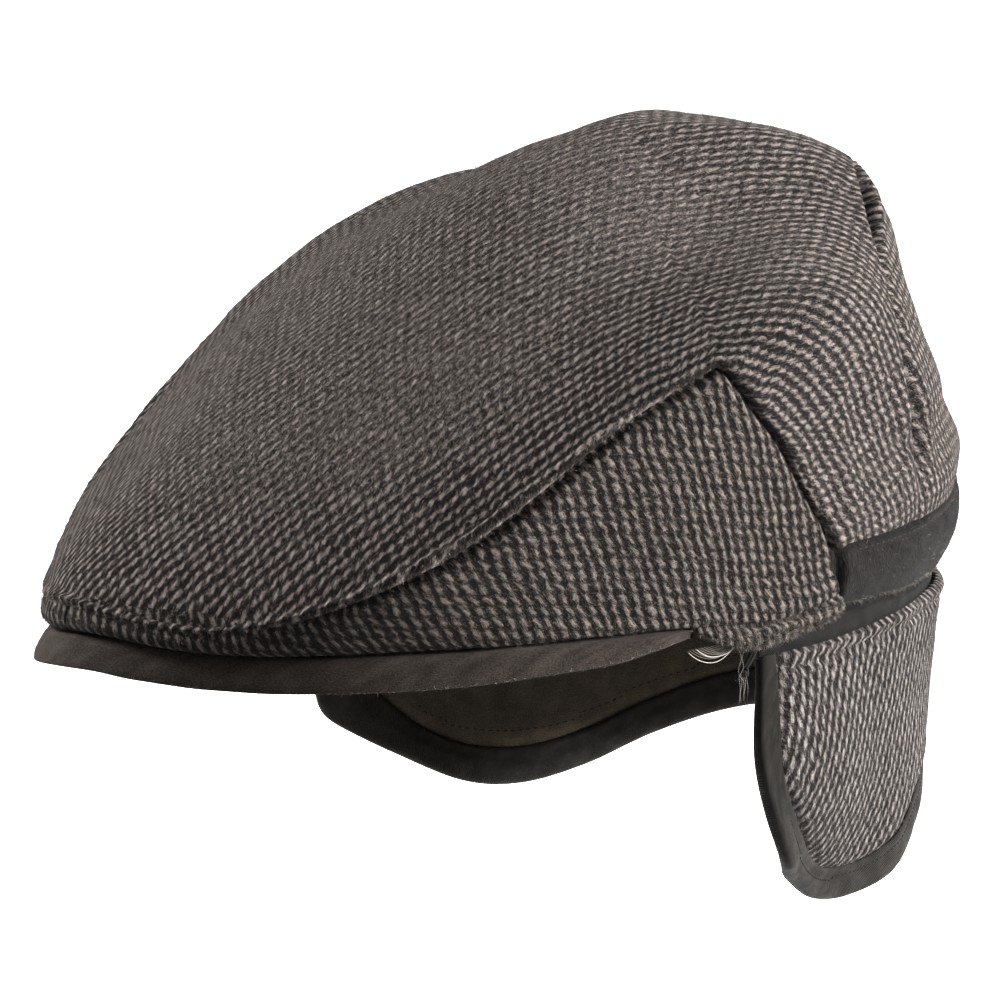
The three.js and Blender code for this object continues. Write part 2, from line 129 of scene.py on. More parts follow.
def make_piece(name, points_mm, faces, cloth, material, replaces=(), slot="wool_cloth"):
    """Makes the mesh object, with its place in its vertices, hangs it on the root and hides the solids it
    replaces.
    """
    mesh = bpy.data.meshes.new(name)
    mesh.from_pydata((points_mm * MM).tolist(), [], [list(f) for f in faces.tolist()])
    corners = np.zeros(len(mesh.loops), np.int32)
    mesh.loops.foreach_get("vertex_index", corners)
    layer = mesh.uv_layers.new(name="cloth")
    layer.data.foreach_set("uv", cloth[corners, :2].astype(np.float32).ravel())
    if cloth.shape[1] > 2:
        brushed = mesh.attributes.new("brushed", "FLOAT", "POINT")
        brushed.data.foreach_set("value", cloth[:, 2].astype(np.float32))
    mesh.polygons.foreach_set("use_smooth", np.full(len(mesh.polygons), True))
    mesh.materials.append(material)
    piece = bpy.data.objects.new(name, mesh)
    bpy.context.scene.collection.objects.link(piece)
    mesh.update()
    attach(piece, "root")
    if replaces:
        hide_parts(*replaces)
    print(name, "has", sum(len(f) - 2 for f in faces.tolist()), "triangles")
    return piece


SAME_SPOT_M, NO_LENGTH_M = 1e-7, 1e-8


def close_pole(piece):
    """Merges the points of a last row that lie on one spot, so that the pole is closed."""
    work = bmesh.new()
    work.from_mesh(piece.data)
    bmesh.ops.remove_doubles(work, verts=work.verts, dist=SAME_SPOT_M)
    bmesh.ops.dissolve_degenerate(work, edges=work.edges, dist=NO_LENGTH_M)
    work.to_mesh(piece.data)
    work.free()


# %% [markdown]
# ## Curves, lengths and softness
#
# A few short tables hold the cap's sizes in millimetres. Smooth curves run between their rows. Lengths along
# a grid place the weave and the seams at their real scale, and a smooth noise in space gives the small
# unevenness that stuffed cloth has.

# %% Curves through tables
# Added to a length that may be nothing, before a division by it
TINY, SLIGHT = 1e-9, 1e-6


def catmull(a, b, c, d, t):
    """Point t of the way from b to c, on the cubic whose end slopes are half of c - a and half of d - b."""
    square = (2 * a - 5 * b + 4 * c - d) * t * t
    cube = (3 * b - a - 3 * c + d) * t * t * t
    return 0.5 * (2 * b + (c - a) * t + square + cube)


def through(x, xs, ys):
    """Cubic through the table's points, whose slope at each is that of its two neighbours."""
    xs, ys = np.asarray(xs, float), np.asarray(ys, float)
    slopes = np.gradient(ys, xs)
    k = np.clip(np.searchsorted(xs, x, side="right") - 1, 0, len(xs) - 2)
    span = xs[k + 1] - xs[k]
    t = np.clip((x - xs[k]) / span, 0, 1)
    start = (2 * t**3 - 3 * t**2 + 1) * ys[k] + (t**3 - 2 * t**2 + t) * span * slopes[k]
    return start + (3 * t**2 - 2 * t**3) * ys[k + 1] + (t**3 - t**2) * span * slopes[k + 1]


def ease(x, low, high):
    """Share of the way from low to high, with a smooth start and end."""
    t = np.clip((x - low) / (high - low), 0, 1)
    return t * t * (3 - 2 * t)


def lengths(points, axis):
    """Length along the grid lines of one axis, from their first point."""
    steps = np.linalg.norm(np.diff(points, axis=axis), axis=-1)
    start = np.zeros_like(np.take(steps, [0], axis=axis))
    return np.concatenate([start, np.cumsum(steps, axis=axis)], axis=axis)


def normals(points, ring=False):
    """Outward normals of a grid: the cross product of its two directions, of length one."""
    if ring:
        across = np.roll(points, -1, 0) - np.roll(points, 1, 0)
    else:
        across = np.gradient(points, axis=0)
    n = np.cross(across, np.gradient(points, axis=1))
    return n / np.maximum(np.linalg.norm(n, axis=-1, keepdims=True), TINY)


LATTICE_CELLS, LATTICE_SEED = 32, 7
LATTICE = np.random.default_rng(LATTICE_SEED).random((LATTICE_CELLS,) * 3) * 2 - 1


def softness(points, size, shift=0.0):
    """Smooth noise from -1 to 1: chance values on a lattice of that size in mm, blended with ease curves."""
    p = points / size + shift
    cell = np.floor(p).astype(int)
    t = p - cell
    t = t * t * (3 - 2 * t)
    total = np.zeros(points.shape[:-1])
    for corner in np.ndindex(2, 2, 2):
        pick = np.mod(cell + corner, LATTICE_CELLS)
        weight = np.prod(np.where(np.array(corner) == 1, t, 1 - t), axis=-1)
        total += weight * LATTICE[pick[..., 0], pick[..., 1], pick[..., 2]]
    return total


def uneven(points, *parts):
    """Sum of soft noises, each given as its height and size in mm and a shift that makes it its own."""
    return sum(high * softness(points, size, shift) for high, size, shift in parts)


print("softness at the origin", round(float(softness(np.zeros((1, 3)), 20.0)[0]), 3))

# %% [markdown]
# ## Writing finishes as arithmetic
#
# A finish is a small network of nodes. Wiring each one by hand hides the formula, so a socket is wrapped in a
# class whose operators add Math nodes, and a sum of masks can be written as a sum.

# %% Sockets that can be calculated with
class Value:
    """One socket of a finish. An expression on it adds a Math node for each operation."""

    def __init__(self, finish, socket):
        self.finish, self.socket = finish, socket

    def maths(self, operation, *values):
        sockets = dict(enumerate(values))
        return self.finish.node("ShaderNodeMath", {"operation": operation}, sockets)

    def out(self, name):
        return Value(self.finish, self.socket.node.outputs[name])

    def __add__(self, other):
        return self.maths("ADD", self, other)

    def __radd__(self, other):
        return self.maths("ADD", other, self)

    def __sub__(self, other):
        return self.maths("SUBTRACT", self, other)

    def __rsub__(self, other):
        return self.maths("SUBTRACT", other, self)

    def __mul__(self, other):
        return self.maths("MULTIPLY", self, other)

    def __rmul__(self, other):
        return self.maths("MULTIPLY", other, self)

    def wave(self):
        """Goes from 1 through 0 and back to 1 for each whole step of the value."""
        return 0.5 + 0.5 * self.maths("COSINE", self * (2 * np.pi))

    def sway(self):
        """Goes from 0 up to 1, down to -1 and back for each whole step of the value."""
        return self.maths("SINE", self * (2 * np.pi))


class Finish:
    """A material with one Principled shader, whose constants are set on its own sockets."""

    def __init__(self, name, **constants):
        self.material = bpy.data.materials.new(name)
        self.material.use_nodes = True
        self.tree = self.material.node_tree
        self.shader = self.tree.nodes["Principled BSDF"]
        for socket, value in constants.items():
            self.feed(self.shader.inputs[socket.replace("_", " ")], value)

    def feed(self, socket, value):
        if isinstance(value, Value):
            self.tree.links.new(value.socket, socket)
        else:
            socket.default_value = value

    def node(self, kind, settings=None, sockets=None):
        """Adds a node: its settings first, then the values or links of its sockets."""
        made = self.tree.nodes.new(kind)
        for name, value in (settings or {}).items():
            setattr(made, name, value)
        for name, value in (sockets or {}).items():
            self.feed(made.inputs[name], value)
        return Value(self, made.outputs[0])

    def step(self, value, low, high):
        """Share of the way from low to high, with soft ends."""
        sockets = {"Value": value, "From Min": low, "From Max": high}
        return self.node("ShaderNodeMapRange", {"interpolation_type": "SMOOTHSTEP"}, sockets)

    def mix(self, share, a, b):
        """Colour between a and b."""
        made = self.node("ShaderNodeMix", {"data_type": "RGBA"}, {0: share, 6: a, 7: b})
        return made.out(2)

    def noise(self, vector, scale, detail=2.0, roughness=0.5):
        sockets = {"Vector": vector, "Scale": scale, "Detail": detail, "Roughness": roughness}
        return self.node("ShaderNodeTexNoise", {}, sockets)

    def place(self):
        """Place on the flat cloth, from the piece's own UV map."""
        flat = self.node("ShaderNodeUVMap", {"uv_map": "cloth"})
        split = self.node("ShaderNodeSeparateXYZ", {}, {0: flat})
        return flat, split.out(0), split.out(1)

    def vector(self, x, y, z=0.0):
        return self.node("ShaderNodeCombineXYZ", {}, {0: x, 1: y, 2: z})

    def surface(self, colour, height, relief_mm, roughness=None):
        """Feeds the shader its colour, its roughness and a bump of the given relief."""
        self.feed(self.shader.inputs["Base Color"], colour)
        if roughness is not None:
            self.feed(self.shader.inputs["Roughness"], roughness)
        sockets = {"Height": height, "Distance": relief_mm * MM}
        self.feed(self.shader.inputs["Normal"], self.node("ShaderNodeBump", {}, sockets))
        return self.material


def srgb(r, g, b):
    """Linear colour from the three numbers, 0 to 255, by which a maker picks it."""
    c = np.array([r, g, b]) / 255
    linear = np.where(c <= 0.04045, c / 12.92, ((c + 0.055) / 1.055) ** 2.4)
    return (*linear.tolist(), 1.0)


print("dark grey yarn is", [round(x, 3) for x in srgb(45, 42, 40)])

# %% [markdown]
# ## The wool
#
# The cloth is woven in dark and pale yarns. Pale floats lean a little, each one like a short S, and nearly
# join into slanting chains with dark spots between them. Brushing has blurred them into a short fuzz.
# An image would tile and stretch. Here each point of the cloth knows how many repeats it lies from the start
# along both chains, so two cosines draw the floats, and noise frays them.

# %% Wool finish
# In repeats of the weave: how far noise moves a float sideways and a chain lengthwise, and how a float bends
FLOAT_DRIFT, FLOAT_WOBBLE, CHAIN_DRIFT = 0.8, 0.6, 0.8
S_BEND, FLOAT_LEAN = 0.055, 0.34
# Share of a float's strength that is squared, and that falls off between two floats of one chain
SQUARED, GAP = 0.7, 0.66
CLEAR, CLEAR_LOST, FLOAT_MIDDLE = 1.85, 1.35, 0.37
TUFTED, FIBROUS, STRAYED, GRAINY = 1.5, 3.2, 2.0, 1.6
MARK_LOW, MARK_HIGH = -0.22, 1.45
DULL, GLINT = 0.78, 1.8
GLINT_LOW, GLINT_HIGH = 0.66, 0.92
WOOL_RELIEF_MM = 0.5


def wool_finish(name, dark, pale):
    """A float is a cosine across the chains, partly squared, times a partly filled cosine along them, and it
    leans. Noise drawn out along the floats frays them, and brushing makes them fainter."""
    f = Finish(name, Roughness=0.97, Sheen_Weight=0.02, Sheen_Roughness=0.5, Specular_IOR_Level=0.06)
    flat, i, j = f.place()
    brushed = f.node("ShaderNodeAttribute", {"attribute_name": "brushed"}).out("Fac")
    drift = f.noise(flat, scale=0.30)
    wobble = f.noise(flat, scale=1.1)
    i = i + FLOAT_DRIFT * (drift - 0.5) + FLOAT_WOBBLE * (wobble - 0.5)
    j = j + CHAIN_DRIFT * (f.noise(f.vector(i, j, 7.0), scale=0.8) - 0.5)
    across = (i + S_BEND * j.sway()).wave()
    floats = across * (1 - SQUARED + SQUARED * across) * (1 - GAP + GAP * j.wave())
    lean = i + FLOAT_LEAN * j
    tuft = f.noise(f.vector(lean * 3.0, j * 1.2), scale=1.0)
    fibre = f.noise(f.vector(lean * 3.9, j * 1.15), scale=1.9, detail=4.0, roughness=0.75)
    stray_place = f.vector(i * 1.4 - j * 3.8, j * 1.5 + i * 1.3, 3.0)
    stray = f.noise(stray_place, scale=1.9, detail=3.0, roughness=0.7)
    grain = f.noise(f.vector(lean * 6.4, j * 2.6, 9.0), scale=1.9, detail=1.0)
    mark = (CLEAR - CLEAR_LOST * brushed) * (floats - FLOAT_MIDDLE) + 0.5
    mark = mark + TUFTED * (tuft - 0.5) + FIBROUS * (fibre - 0.5)
    mark = mark + STRAYED * (stray - 0.5) + GRAINY * (grain - 0.5)
    blotch = f.step(f.noise(flat, scale=0.09, detail=3.0, roughness=0.6), 0.3, 0.7)
    dull, glint = (tuple(c * share for c in pale[:3]) + (1.0,) for share in (DULL, GLINT))
    pale_yarn = f.mix(blotch, dull, pale)
    # Where fibre and stray noise peak, the pale yarn is mixed towards a colour 1.8 times as bright: a painted
    # glint of light on the fibres
    shining = f.step(0.75 * fibre + 0.5 * stray + 0.15 * floats, GLINT_LOW, GLINT_HIGH)
    colour = f.mix(f.step(mark, MARK_LOW, MARK_HIGH), dark, f.mix(shining, pale_yarn, glint))
    return f.surface(colour, 0.8 * floats + 2.4 * fibre + 1.5 * stray + 0.6 * tuft, WOOL_RELIEF_MM)


wool_top = wool_finish("wool_top", srgb(17, 14, 13), srgb(122, 113, 108))
# A darker copy of the top's wool for the side panels, their hem rolls and their hairs: painted shade for the
# half shade on the sides
wool_side_painted_shade = wool_finish("wool_side_painted_shade", srgb(12, 10, 8), srgb(107, 99, 93))
wool_flap = wool_finish("wool_flap", srgb(16, 13, 13), srgb(124, 117, 113))
# A paler copy of the wool for the hairs on the hem rolls and along the top's seam ridge: a painted highlight
# where those hairs catch the light
wool_edge_painted_glint = wool_finish("wool_edge_painted_glint", srgb(62, 57, 53), srgb(156, 148, 141))
print("wool finishes:", wool_top.name, wool_side_painted_shade.name, wool_flap.name)

# %% [markdown]
# ## Suede cloth and twill
#
# The peak, the band and the lining are one soft black cloth with a brushed face. Its nap lies in patches that
# catch the light at different angles, and pale lint sticks to it. The tape and the binding are a finer satin
# twill, where close diagonal ribs give a dull shine.

# %% Suede finish
NAP_LOW, NAP_HIGH = 0.41, 0.62
LINT_EDGE, LINT_COVER = 0.06, 0.5
SUEDE_RELIEF_MM = 0.3


def suede_finish(name, base, lift, nap, lint_share):
    """Patches of nap from stretched noise, with sparse pale lint where a fine noise peaks."""
    f = Finish(name, Roughness=0.95, Sheen_Weight=0.03, Sheen_Roughness=0.4, Specular_IOR_Level=0.08)
    flat, u, v = f.place()
    patch = f.noise(flat, scale=0.16, detail=3.0, roughness=0.6)
    hair = f.noise(f.vector(u * nap[0], v * nap[1]), scale=2.4, detail=3.0, roughness=0.65)
    lint = f.noise(f.vector(u * 2.0, v * 0.8, 5.0), scale=1.6, detail=1.0)
    speck = f.step(lint, lint_share, lint_share + LINT_EDGE)
    tone = f.mix(f.step(0.3 * patch + 0.7 * hair, NAP_LOW, NAP_HIGH), base, lift)
    colour = f.mix(LINT_COVER * speck, tone, srgb(140, 136, 132))
    return f.surface(colour, hair + 0.3 * patch, SUEDE_RELIEF_MM)


suede_peak = suede_finish("suede_peak", srgb(30, 26, 23), srgb(63, 56, 51), (1.0, 1.4), 0.9)
suede_band = suede_finish("suede_band", srgb(8, 7, 7), srgb(28, 25, 24), (1.1, 0.2), 0.78)
# The lining is the same black cloth as the peak and band, given much paler colours: painted light that lifts
# it out of the shade it hangs in
suede_lining_painted_light = suede_finish("suede_lining_painted_light", srgb(66, 58, 49), srgb(104, 94, 80), (1.2, 1.2), 0.9)


# %% Twill finish
RIB_MM, RIB_SLOPE = 0.52, 0.8
TWILL_RELIEF_MM = 0.16


def twill_finish(name, base, lift):
    """Diagonal ribs: a cosine of along plus across, frayed by a noise drawn out along the ribs."""
    f = Finish(name, Specular_IOR_Level=0.07)
    flat, u, v = f.place()
    fray = f.noise(f.vector(u + v, (u - v) * 0.25), scale=2.2, detail=3.0)
    rib = ((u + v * RIB_SLOPE) * (1 / RIB_MM) + 0.5 * fray).wave()
    patch = f.step(f.noise(flat, scale=0.2, detail=3.0), 0.35, 0.7)
    colour = f.mix(0.5 * rib + 0.5 * patch, base, lift)
    return f.surface(colour, rib + 1.2 * fray, TWILL_RELIEF_MM, 0.76 - 0.12 * patch)


twill = twill_finish("twill", srgb(18, 17, 15), srgb(40, 37, 34))
twill_dark = twill_finish("twill_dark", srgb(6, 6, 5), srgb(19, 17, 16))


# %% Thread finish
PLIES_PER_MM, THREAD_RELIEF_MM = 2.2, 0.05


def thread_finish(name, colour, pale):
    """Twisted plies: a cosine of the length along the thread plus the turn round it."""
    f = Finish(name, Roughness=0.9, Specular_IOR_Level=0.1)
    flat, u, v = f.place()
    ply = (u * PLIES_PER_MM + v).wave()
    return f.surface(f.mix(ply, colour, pale), ply, THREAD_RELIEF_MM)


thread_black = thread_finish("thread_black", srgb(15, 14, 14), srgb(34, 32, 31))
thread_pale = thread_finish("thread_pale", srgb(150, 143, 135), srgb(214, 208, 200))
thread_dark = thread_finish("thread_dark", srgb(36, 34, 33), srgb(76, 72, 69))
thread_grey = thread_finish("thread_grey", srgb(84, 80, 76), srgb(150, 144, 138))
print("plain finishes:", suede_peak.name, suede_band.name, suede_lining_painted_light.name, twill.name)

# %% [markdown]
# ## The crown's form
#
# Seen from above the cap is an oval, longer than wide, so an angle and a reach place a point on it. Nine
# sections from the front to the back give the reach and height of the foot, belly, crest, shoulder and slope.
# A smooth curve through each section, and another round the cap from section to section, make the whole form.

# %% Plan and sections
CENTRE_Y = 5.0
STRETCH = 1.4
SECTION_STEP = 22.5
APEX_Z = 111.8
APEX = 5
LEAN, LEAN_START, LEAN_SPAN = 6.0, 8.0, 93.0
LEAN_SHARE = np.array([1.0, 0.7, 0.15, 0.0, 0.0])
# Each row is one section: foot, belly, crest, shoulder and slope, each as reach and height
CROWN = np.array([
    [[115, 2.5], [116, 5], [115.5, 8], [110, 17], [72, 58]],
    [[107.5, 0.5], [110, 3.2], [109.8, 6], [107, 13.5], [71, 60]],
    [[99.5, 1.5], [104.5, 13], [106, 24.5], [101.5, 30.5], [67.5, 70]],
    [[92, 2], [97, 36.5], [96.5, 59.5], [90, 67], [59.5, 84]],
    [[85, 0.5], [89.5, 45], [93.5, 77.5], [80, 87], [51, 93.5]],
    [[79.3, 12.8], [81.7, 42.6], [76.5, 70.7], [66.7, 89], [46.7, 101.2]],
    [[74, 16], [73, 40], [64, 68.8], [59.5, 87.5], [45.5, 105.5]],
    [[71.8, 17.8], [68, 38], [58.5, 66.3], [56.5, 86.5], [45, 104.5]],
    [[70.8, 19], [66, 36], [57, 65.5], [54.5, 85], [45, 103.5]],
])


def place(phi, reach, height):
    """Point at an angle from the front, a reach from the middle and a height, on the oval plan."""
    a = np.radians(phi)
    return np.stack([reach * np.sin(a), CENTRE_Y - STRETCH * reach * np.cos(a), height + 0 * a], -1)


def folded(phi):
    """Angle from the front, counted up to 180 on either side."""
    turn = np.mod(phi, 360)
    return np.minimum(turn, 360 - turn)


def sections(phi):
    """The five stations at any angle, by a smooth curve round the cap through the nine sections."""
    last = len(CROWN) - 1
    f = np.asarray(phi, float) / SECTION_STEP
    i = np.floor(f).astype(int)
    turns = [np.mod(i + k, 2 * last) for k in (-1, 0, 1, 2)]
    rows = [CROWN[np.where(turn > last, 2 * last - turn, turn)] for turn in turns]
    return catmull(*rows, (f - i)[..., None, None])


def crown_profile(phi, level):
    """Reach and height at a level, 0 foot to 5 apex, by a cubic whose slopes allow for uneven spacing."""
    phi, level = np.broadcast_arrays(np.asarray(phi, float), np.asarray(level, float))
    side = np.mod(phi, 360)
    side = np.where(side > 180, side - 360, side)
    share = np.clip((LEAN_START - side) / LEAN_SPAN, 0, 1)
    lean = LEAN * np.sin(np.pi * share ** 0.75) ** 2
    run = sections(phi).copy()
    run[..., 1] -= lean[..., None] * LEAN_SHARE
    across = sections(phi + 180)[..., 4, :] * np.array([-1.0, 1.0])
    apex = np.broadcast_to(np.array([0.0, APEX_Z]), across.shape)
    below = 2 * run[..., 0, :] - run[..., 1, :]
    points = np.stack([below, *np.moveaxis(run, -2, 0), apex, across], -2)
    i = np.clip(np.floor(level).astype(int), 0, APEX - 1)
    a, b, c, d = (np.take_along_axis(points, (i + k)[..., None, None], -2)[..., 0, :] for k in range(4))
    before, own, after = (np.sqrt(np.linalg.norm(q - p, axis=-1))[..., None] + SLIGHT
                          for p, q in ((a, b), (b, c), (c, d)))
    start = own * ((b - a) / before - (c - a) / (before + own) + (c - b) / own)
    end = own * ((c - b) / own - (d - b) / (own + after) + (d - c) / after)
    t = (level - i)[..., None]
    return b + t * (start + t * (3 * (c - b) - 2 * start - end + t * (2 * (b - c) + start + end)))


def crown(phi, level):
    profile = crown_profile(phi, level)
    return place(phi, profile[..., 0], profile[..., 1])


LOWEST_LEVEL, HIGHEST_LEVEL, HALVINGS = -0.5, 1.0, 24


def level_at(phi, height):
    """Level at which a section passes a height near its foot, by halving."""
    low, high = np.full(np.shape(phi), LOWEST_LEVEL), np.full(np.shape(phi), HIGHEST_LEVEL)
    for _ in range(HALVINGS):
        middle = (low + high) / 2
        under = crown_profile(phi, middle)[..., 1] < height
        low, high = np.where(under, middle, low), np.where(under, high, middle)
    return (low + high) / 2


print("the crown's side stands", round(float(crown(90, 2)[2]), 1), "mm high")

# %% [markdown]
# ## Laying the cloth flat
#
# Wool is woven flat and then shaped, so the weave has one size all over the cap and only turns with the
# cloth. A simple projection would stretch it on the sides. Instead the surface is flattened as a tailor would
# lay it: each small triangle is turned in the plane without stretching, and the places that fit the turned
# triangles best are solved for, a few times over.

# %% Flattening
FLATTEN_ROUNDS = 40
COTANGENTS = (-1.0, 20.0)
ALWAYS_FORWARD = 1e-4


def flatten(points, triangles, start):
    """Places in the plane that keep each triangle's shape: a rotation is fitted to every triangle, then the
    places are solved from the turned edges, weighted by the cotangent of the corner opposite each edge."""
    a, b, c = (points[triangles[:, k]] for k in range(3))
    first = (b - a) / np.linalg.norm(b - a, axis=1, keepdims=True)
    normal = np.cross(b - a, c - a)
    second = np.cross(normal / np.linalg.norm(normal, axis=1, keepdims=True), first)
    local = [np.stack([((p - a) * first).sum(1), ((p - a) * second).sum(1)], 1) for p in (a, b, c)]
    local = np.stack(local, 1)
    matrix, edges = np.zeros((len(points), len(points))), []
    for k in range(3):
        p, q = (k + 1) % 3, (k + 2) % 3
        u, w = local[:, p] - local[:, k], local[:, q] - local[:, k]
        cot = (u * w).sum(1) / np.maximum(u[:, 0] * w[:, 1] - u[:, 1] * w[:, 0], TINY)
        cot = np.clip(cot, *COTANGENTS)
        i, j = triangles[:, p], triangles[:, q]
        for row, column, sign in ((i, i, 1), (j, j, 1), (i, j, -1), (j, i, -1)):
            np.add.at(matrix, (row, column), sign * cot)
        edges.append((i, j, local[:, p] - local[:, q], cot[:, None]))
    matrix[0, 0] += 1
    inverse = np.linalg.inv(matrix)
    flat = start.copy()
    for _ in range(FLATTEN_ROUNDS):
        laid = [(cot, flat[i] - flat[j], edge) for i, j, edge, cot in edges]
        cosine = sum((cot * now * edge).sum(1) for cot, now, edge in laid)
        sine = sum(cot[:, 0] * (now[:, 1] * edge[:, 0] - now[:, 0] * edge[:, 1]) for cot, now, edge in laid)
        long = np.hypot(cosine, sine)
        cosine, sine = (cosine / long)[:, None], (sine / long)[:, None]
        wanted = np.zeros_like(flat)
        for i, j, edge, cot in edges:
            turned = cot * (edge * cosine + edge[:, ::-1] * sine * [-1, 1])
            np.add.at(wanted, i, turned)
            np.add.at(wanted, j, -turned)
        wanted[0] += start[0]
        flat = inverse @ wanted
    return flat


def flat_places(grid, start, columns, row_step, ring=False):
    """Flattens the given columns and every few rows of a grid, and fills in the places between them."""
    columns = np.unique(np.append(columns, len(grid) - 1))
    rows = np.unique(np.append(np.arange(0, grid.shape[1], row_step), grid.shape[1] - 1))
    ids = np.arange(len(columns) * len(rows)).reshape(len(columns), len(rows))
    if ring:
        ids[:, -1] = ids[0, -1]
    run = np.concatenate([ids, ids[:1]]) if ring else ids
    quads = grid_quads(run)
    triangles = np.concatenate([quads[:, [0, 1, 2]], quads[:, [0, 2, 3]]])
    same = (triangles == np.roll(triangles, 1, 1)).any(1)
    used, triangles = np.unique(triangles[~same], return_inverse=True)
    pick = np.ix_(columns, rows)
    points, places = grid[pick].reshape(-1, 3)[used], start[pick].reshape(-1, 2)[used]
    flat = flatten(points, triangles.reshape(-1, 3), places)
    coarse = np.zeros((ids.size, 2))
    coarse[used] = flat
    coarse = coarse[run]
    closed = np.concatenate([grid, grid[:1]]) if ring else grid
    at = np.append(columns, len(grid)) if ring else columns
    along, up = lengths(closed[:, rows], 0), lengths(grid, 1)
    along = along + ALWAYS_FORWARD * np.arange(len(closed))[:, None]
    wide = [[np.interp(along[:len(grid), r], along[at, r], coarse[:, r, k]) for r in range(len(rows))]
            for k in (0, 1)]
    wide = np.stack(wide, -1)
    filled = [[np.interp(up[c], up[c, rows], wide[:, c, k]) for c in range(len(grid))] for k in (0, 1)]
    return np.stack(filled, -1)


# %% Lattice of the floats
REPEAT_A, REPEAT_B = 3.13, 3.43


def lattice(flat, angle_a, angle_b, brushed=0.0):
    """Repeats along both directions of the weave from places in mm on the flat cloth, and the brushing."""
    a, b = np.radians(angle_a), np.radians(angle_b)
    steps = np.array([[np.cos(a), np.cos(b)], [np.sin(a), np.sin(b)]]) * [REPEAT_A, REPEAT_B]
    repeats = flat @ np.linalg.inv(steps).T
    brushed = np.broadcast_to(brushed, flat.shape[:-1])
    return np.concatenate([repeats, brushed[..., None]], -1)


print("one float in", round(REPEAT_A * REPEAT_B, 1), "square mm")

# %% [markdown]
# ## Fuzz
#
# Brushed wool stands off its own edge in short bent hairs, and the outline looks soft for that reason. Hair
# particles would do it, but they can't be exported, so each hair is a narrow strip of three triangles, rooted
# by chance over the surface and coloured by the weave under its root.

# %% Hairs on a grid
HAIR_WIDTH, HAIR_ROOT = 0.07, 0.15
FIRST_STRAY, SECOND_STRAY = 0.75, 0.6


def hairs(grid, flat, count, length, seed, width):
    """Bent strips: a root, a knee at half the length and a tip, leaning by chance from the surface."""
    rng = np.random.default_rng(seed)
    a, b, c = grid[:-1, :-1], grid[1:, :-1], grid[:-1, 1:]
    area = np.linalg.norm(np.cross(b - a, c - a), axis=-1).ravel()
    pick = rng.choice(area.size, count, p=area / area.sum())
    i, j = np.unravel_index(pick, a.shape[:2])
    s, t = rng.random((2, count, 1))
    root = grid[i, j] + s * (grid[i + 1, j] - grid[i, j]) + t * (grid[i, j + 1] - grid[i, j])
    normal = np.cross(grid[i + 1, j] - grid[i, j], grid[i, j + 1] - grid[i, j])
    normal /= np.maximum(np.linalg.norm(normal, axis=1, keepdims=True), TINY)
    stray = rng.normal(size=(count, 3)) * FIRST_STRAY
    second = rng.normal(size=(count, 3)) * SECOND_STRAY
    long = length * (0.45 + 0.75 * rng.random((count, 1)))
    first_way = normal + stray
    first_way /= np.linalg.norm(first_way, axis=1, keepdims=True)
    next_way = 0.7 * first_way + second
    next_way /= np.linalg.norm(next_way, axis=1, keepdims=True)
    knee = root + first_way * long * 0.5
    tip = knee + next_way * long * 0.5
    broad = np.cross(first_way, rng.normal(size=(count, 3)))
    broad *= width / 2 / np.maximum(np.linalg.norm(broad, axis=1, keepdims=True), TINY)
    root = root - normal * HAIR_ROOT
    points = np.stack([root - broad, root + broad, knee + 0.7 * broad, knee - 0.7 * broad, tip], 1)
    first = np.arange(count)[:, None] * 5
    faces = np.concatenate([first + [0, 1, 2], first + [0, 2, 3], first + [3, 2, 4]])
    return points.reshape(-1, 3), faces, np.repeat(flat[i, j], 5, axis=0)


def fuzz(name, grid, flat, count, length, material, seed, width=HAIR_WIDTH, slot="wool_cloth"):
    points, faces, places = hairs(grid, flat, count, length, seed, width)
    return make_piece(name, points, faces, places, material, slot=slot)


# %% Cloth edges
def edge_distance(grid, row):
    """Distance of each point from the border row, square to it, from the length along its column."""
    run = lengths(grid, 1)
    run = np.abs(run - run[:, row][:, None])
    along = np.gradient(grid[:, row], axis=0)
    up = grid[:, 3 if row == 0 else -4] - grid[:, row]
    square = np.linalg.norm(np.cross(along, up), axis=1)
    square /= np.maximum(np.linalg.norm(along, axis=1) * np.linalg.norm(up, axis=1), TINY)
    return run * square[:, None]


def border_distance(grid, rows):
    """Shortest distance of the first rows' points from the border, and further up the length past them."""
    part, run = grid[:, :rows], lengths(grid, 1)
    line = np.concatenate([grid[:, 0], grid[:1, 0]])
    away = run[:, :rows].copy()
    for a, b in zip(line[:-1], line[1:]):
        share = np.clip((part - a) @ (b - a) / ((b - a) @ (b - a)), 0, 1)
        away = np.minimum(away, np.linalg.norm(part - a - share[..., None] * (b - a), axis=-1))
    return np.concatenate([away, away[:, -1:] + run[:, rows:] - run[:, rows - 1:rows]], 1)


def rolled(distance, radius):
    """How far a folded edge sinks: a quarter circle over its radius."""
    x = 1 - np.clip(distance / radius, 0, 1)
    return -radius * (1 - np.sqrt(1 - x * x))


def hump(distance, middle, width):
    return np.exp(-((distance - middle) / width) ** 2)


print("a 1.4 mm fold sinks", round(float(rolled(np.array(0.3), 1.4)), 2), "mm at 0.3 mm from its edge")

# %% [markdown]
# ## The top and back of the crown
#
# One shaped cloth covers the top and runs down the back. Round the front and sides it ends in a turned edge
# that stands proud of the side panels and sinks under itself in a fold. At the back it puffs out over the
# band. A crease opens at each side of the back, where the cloth is caught in a seam.

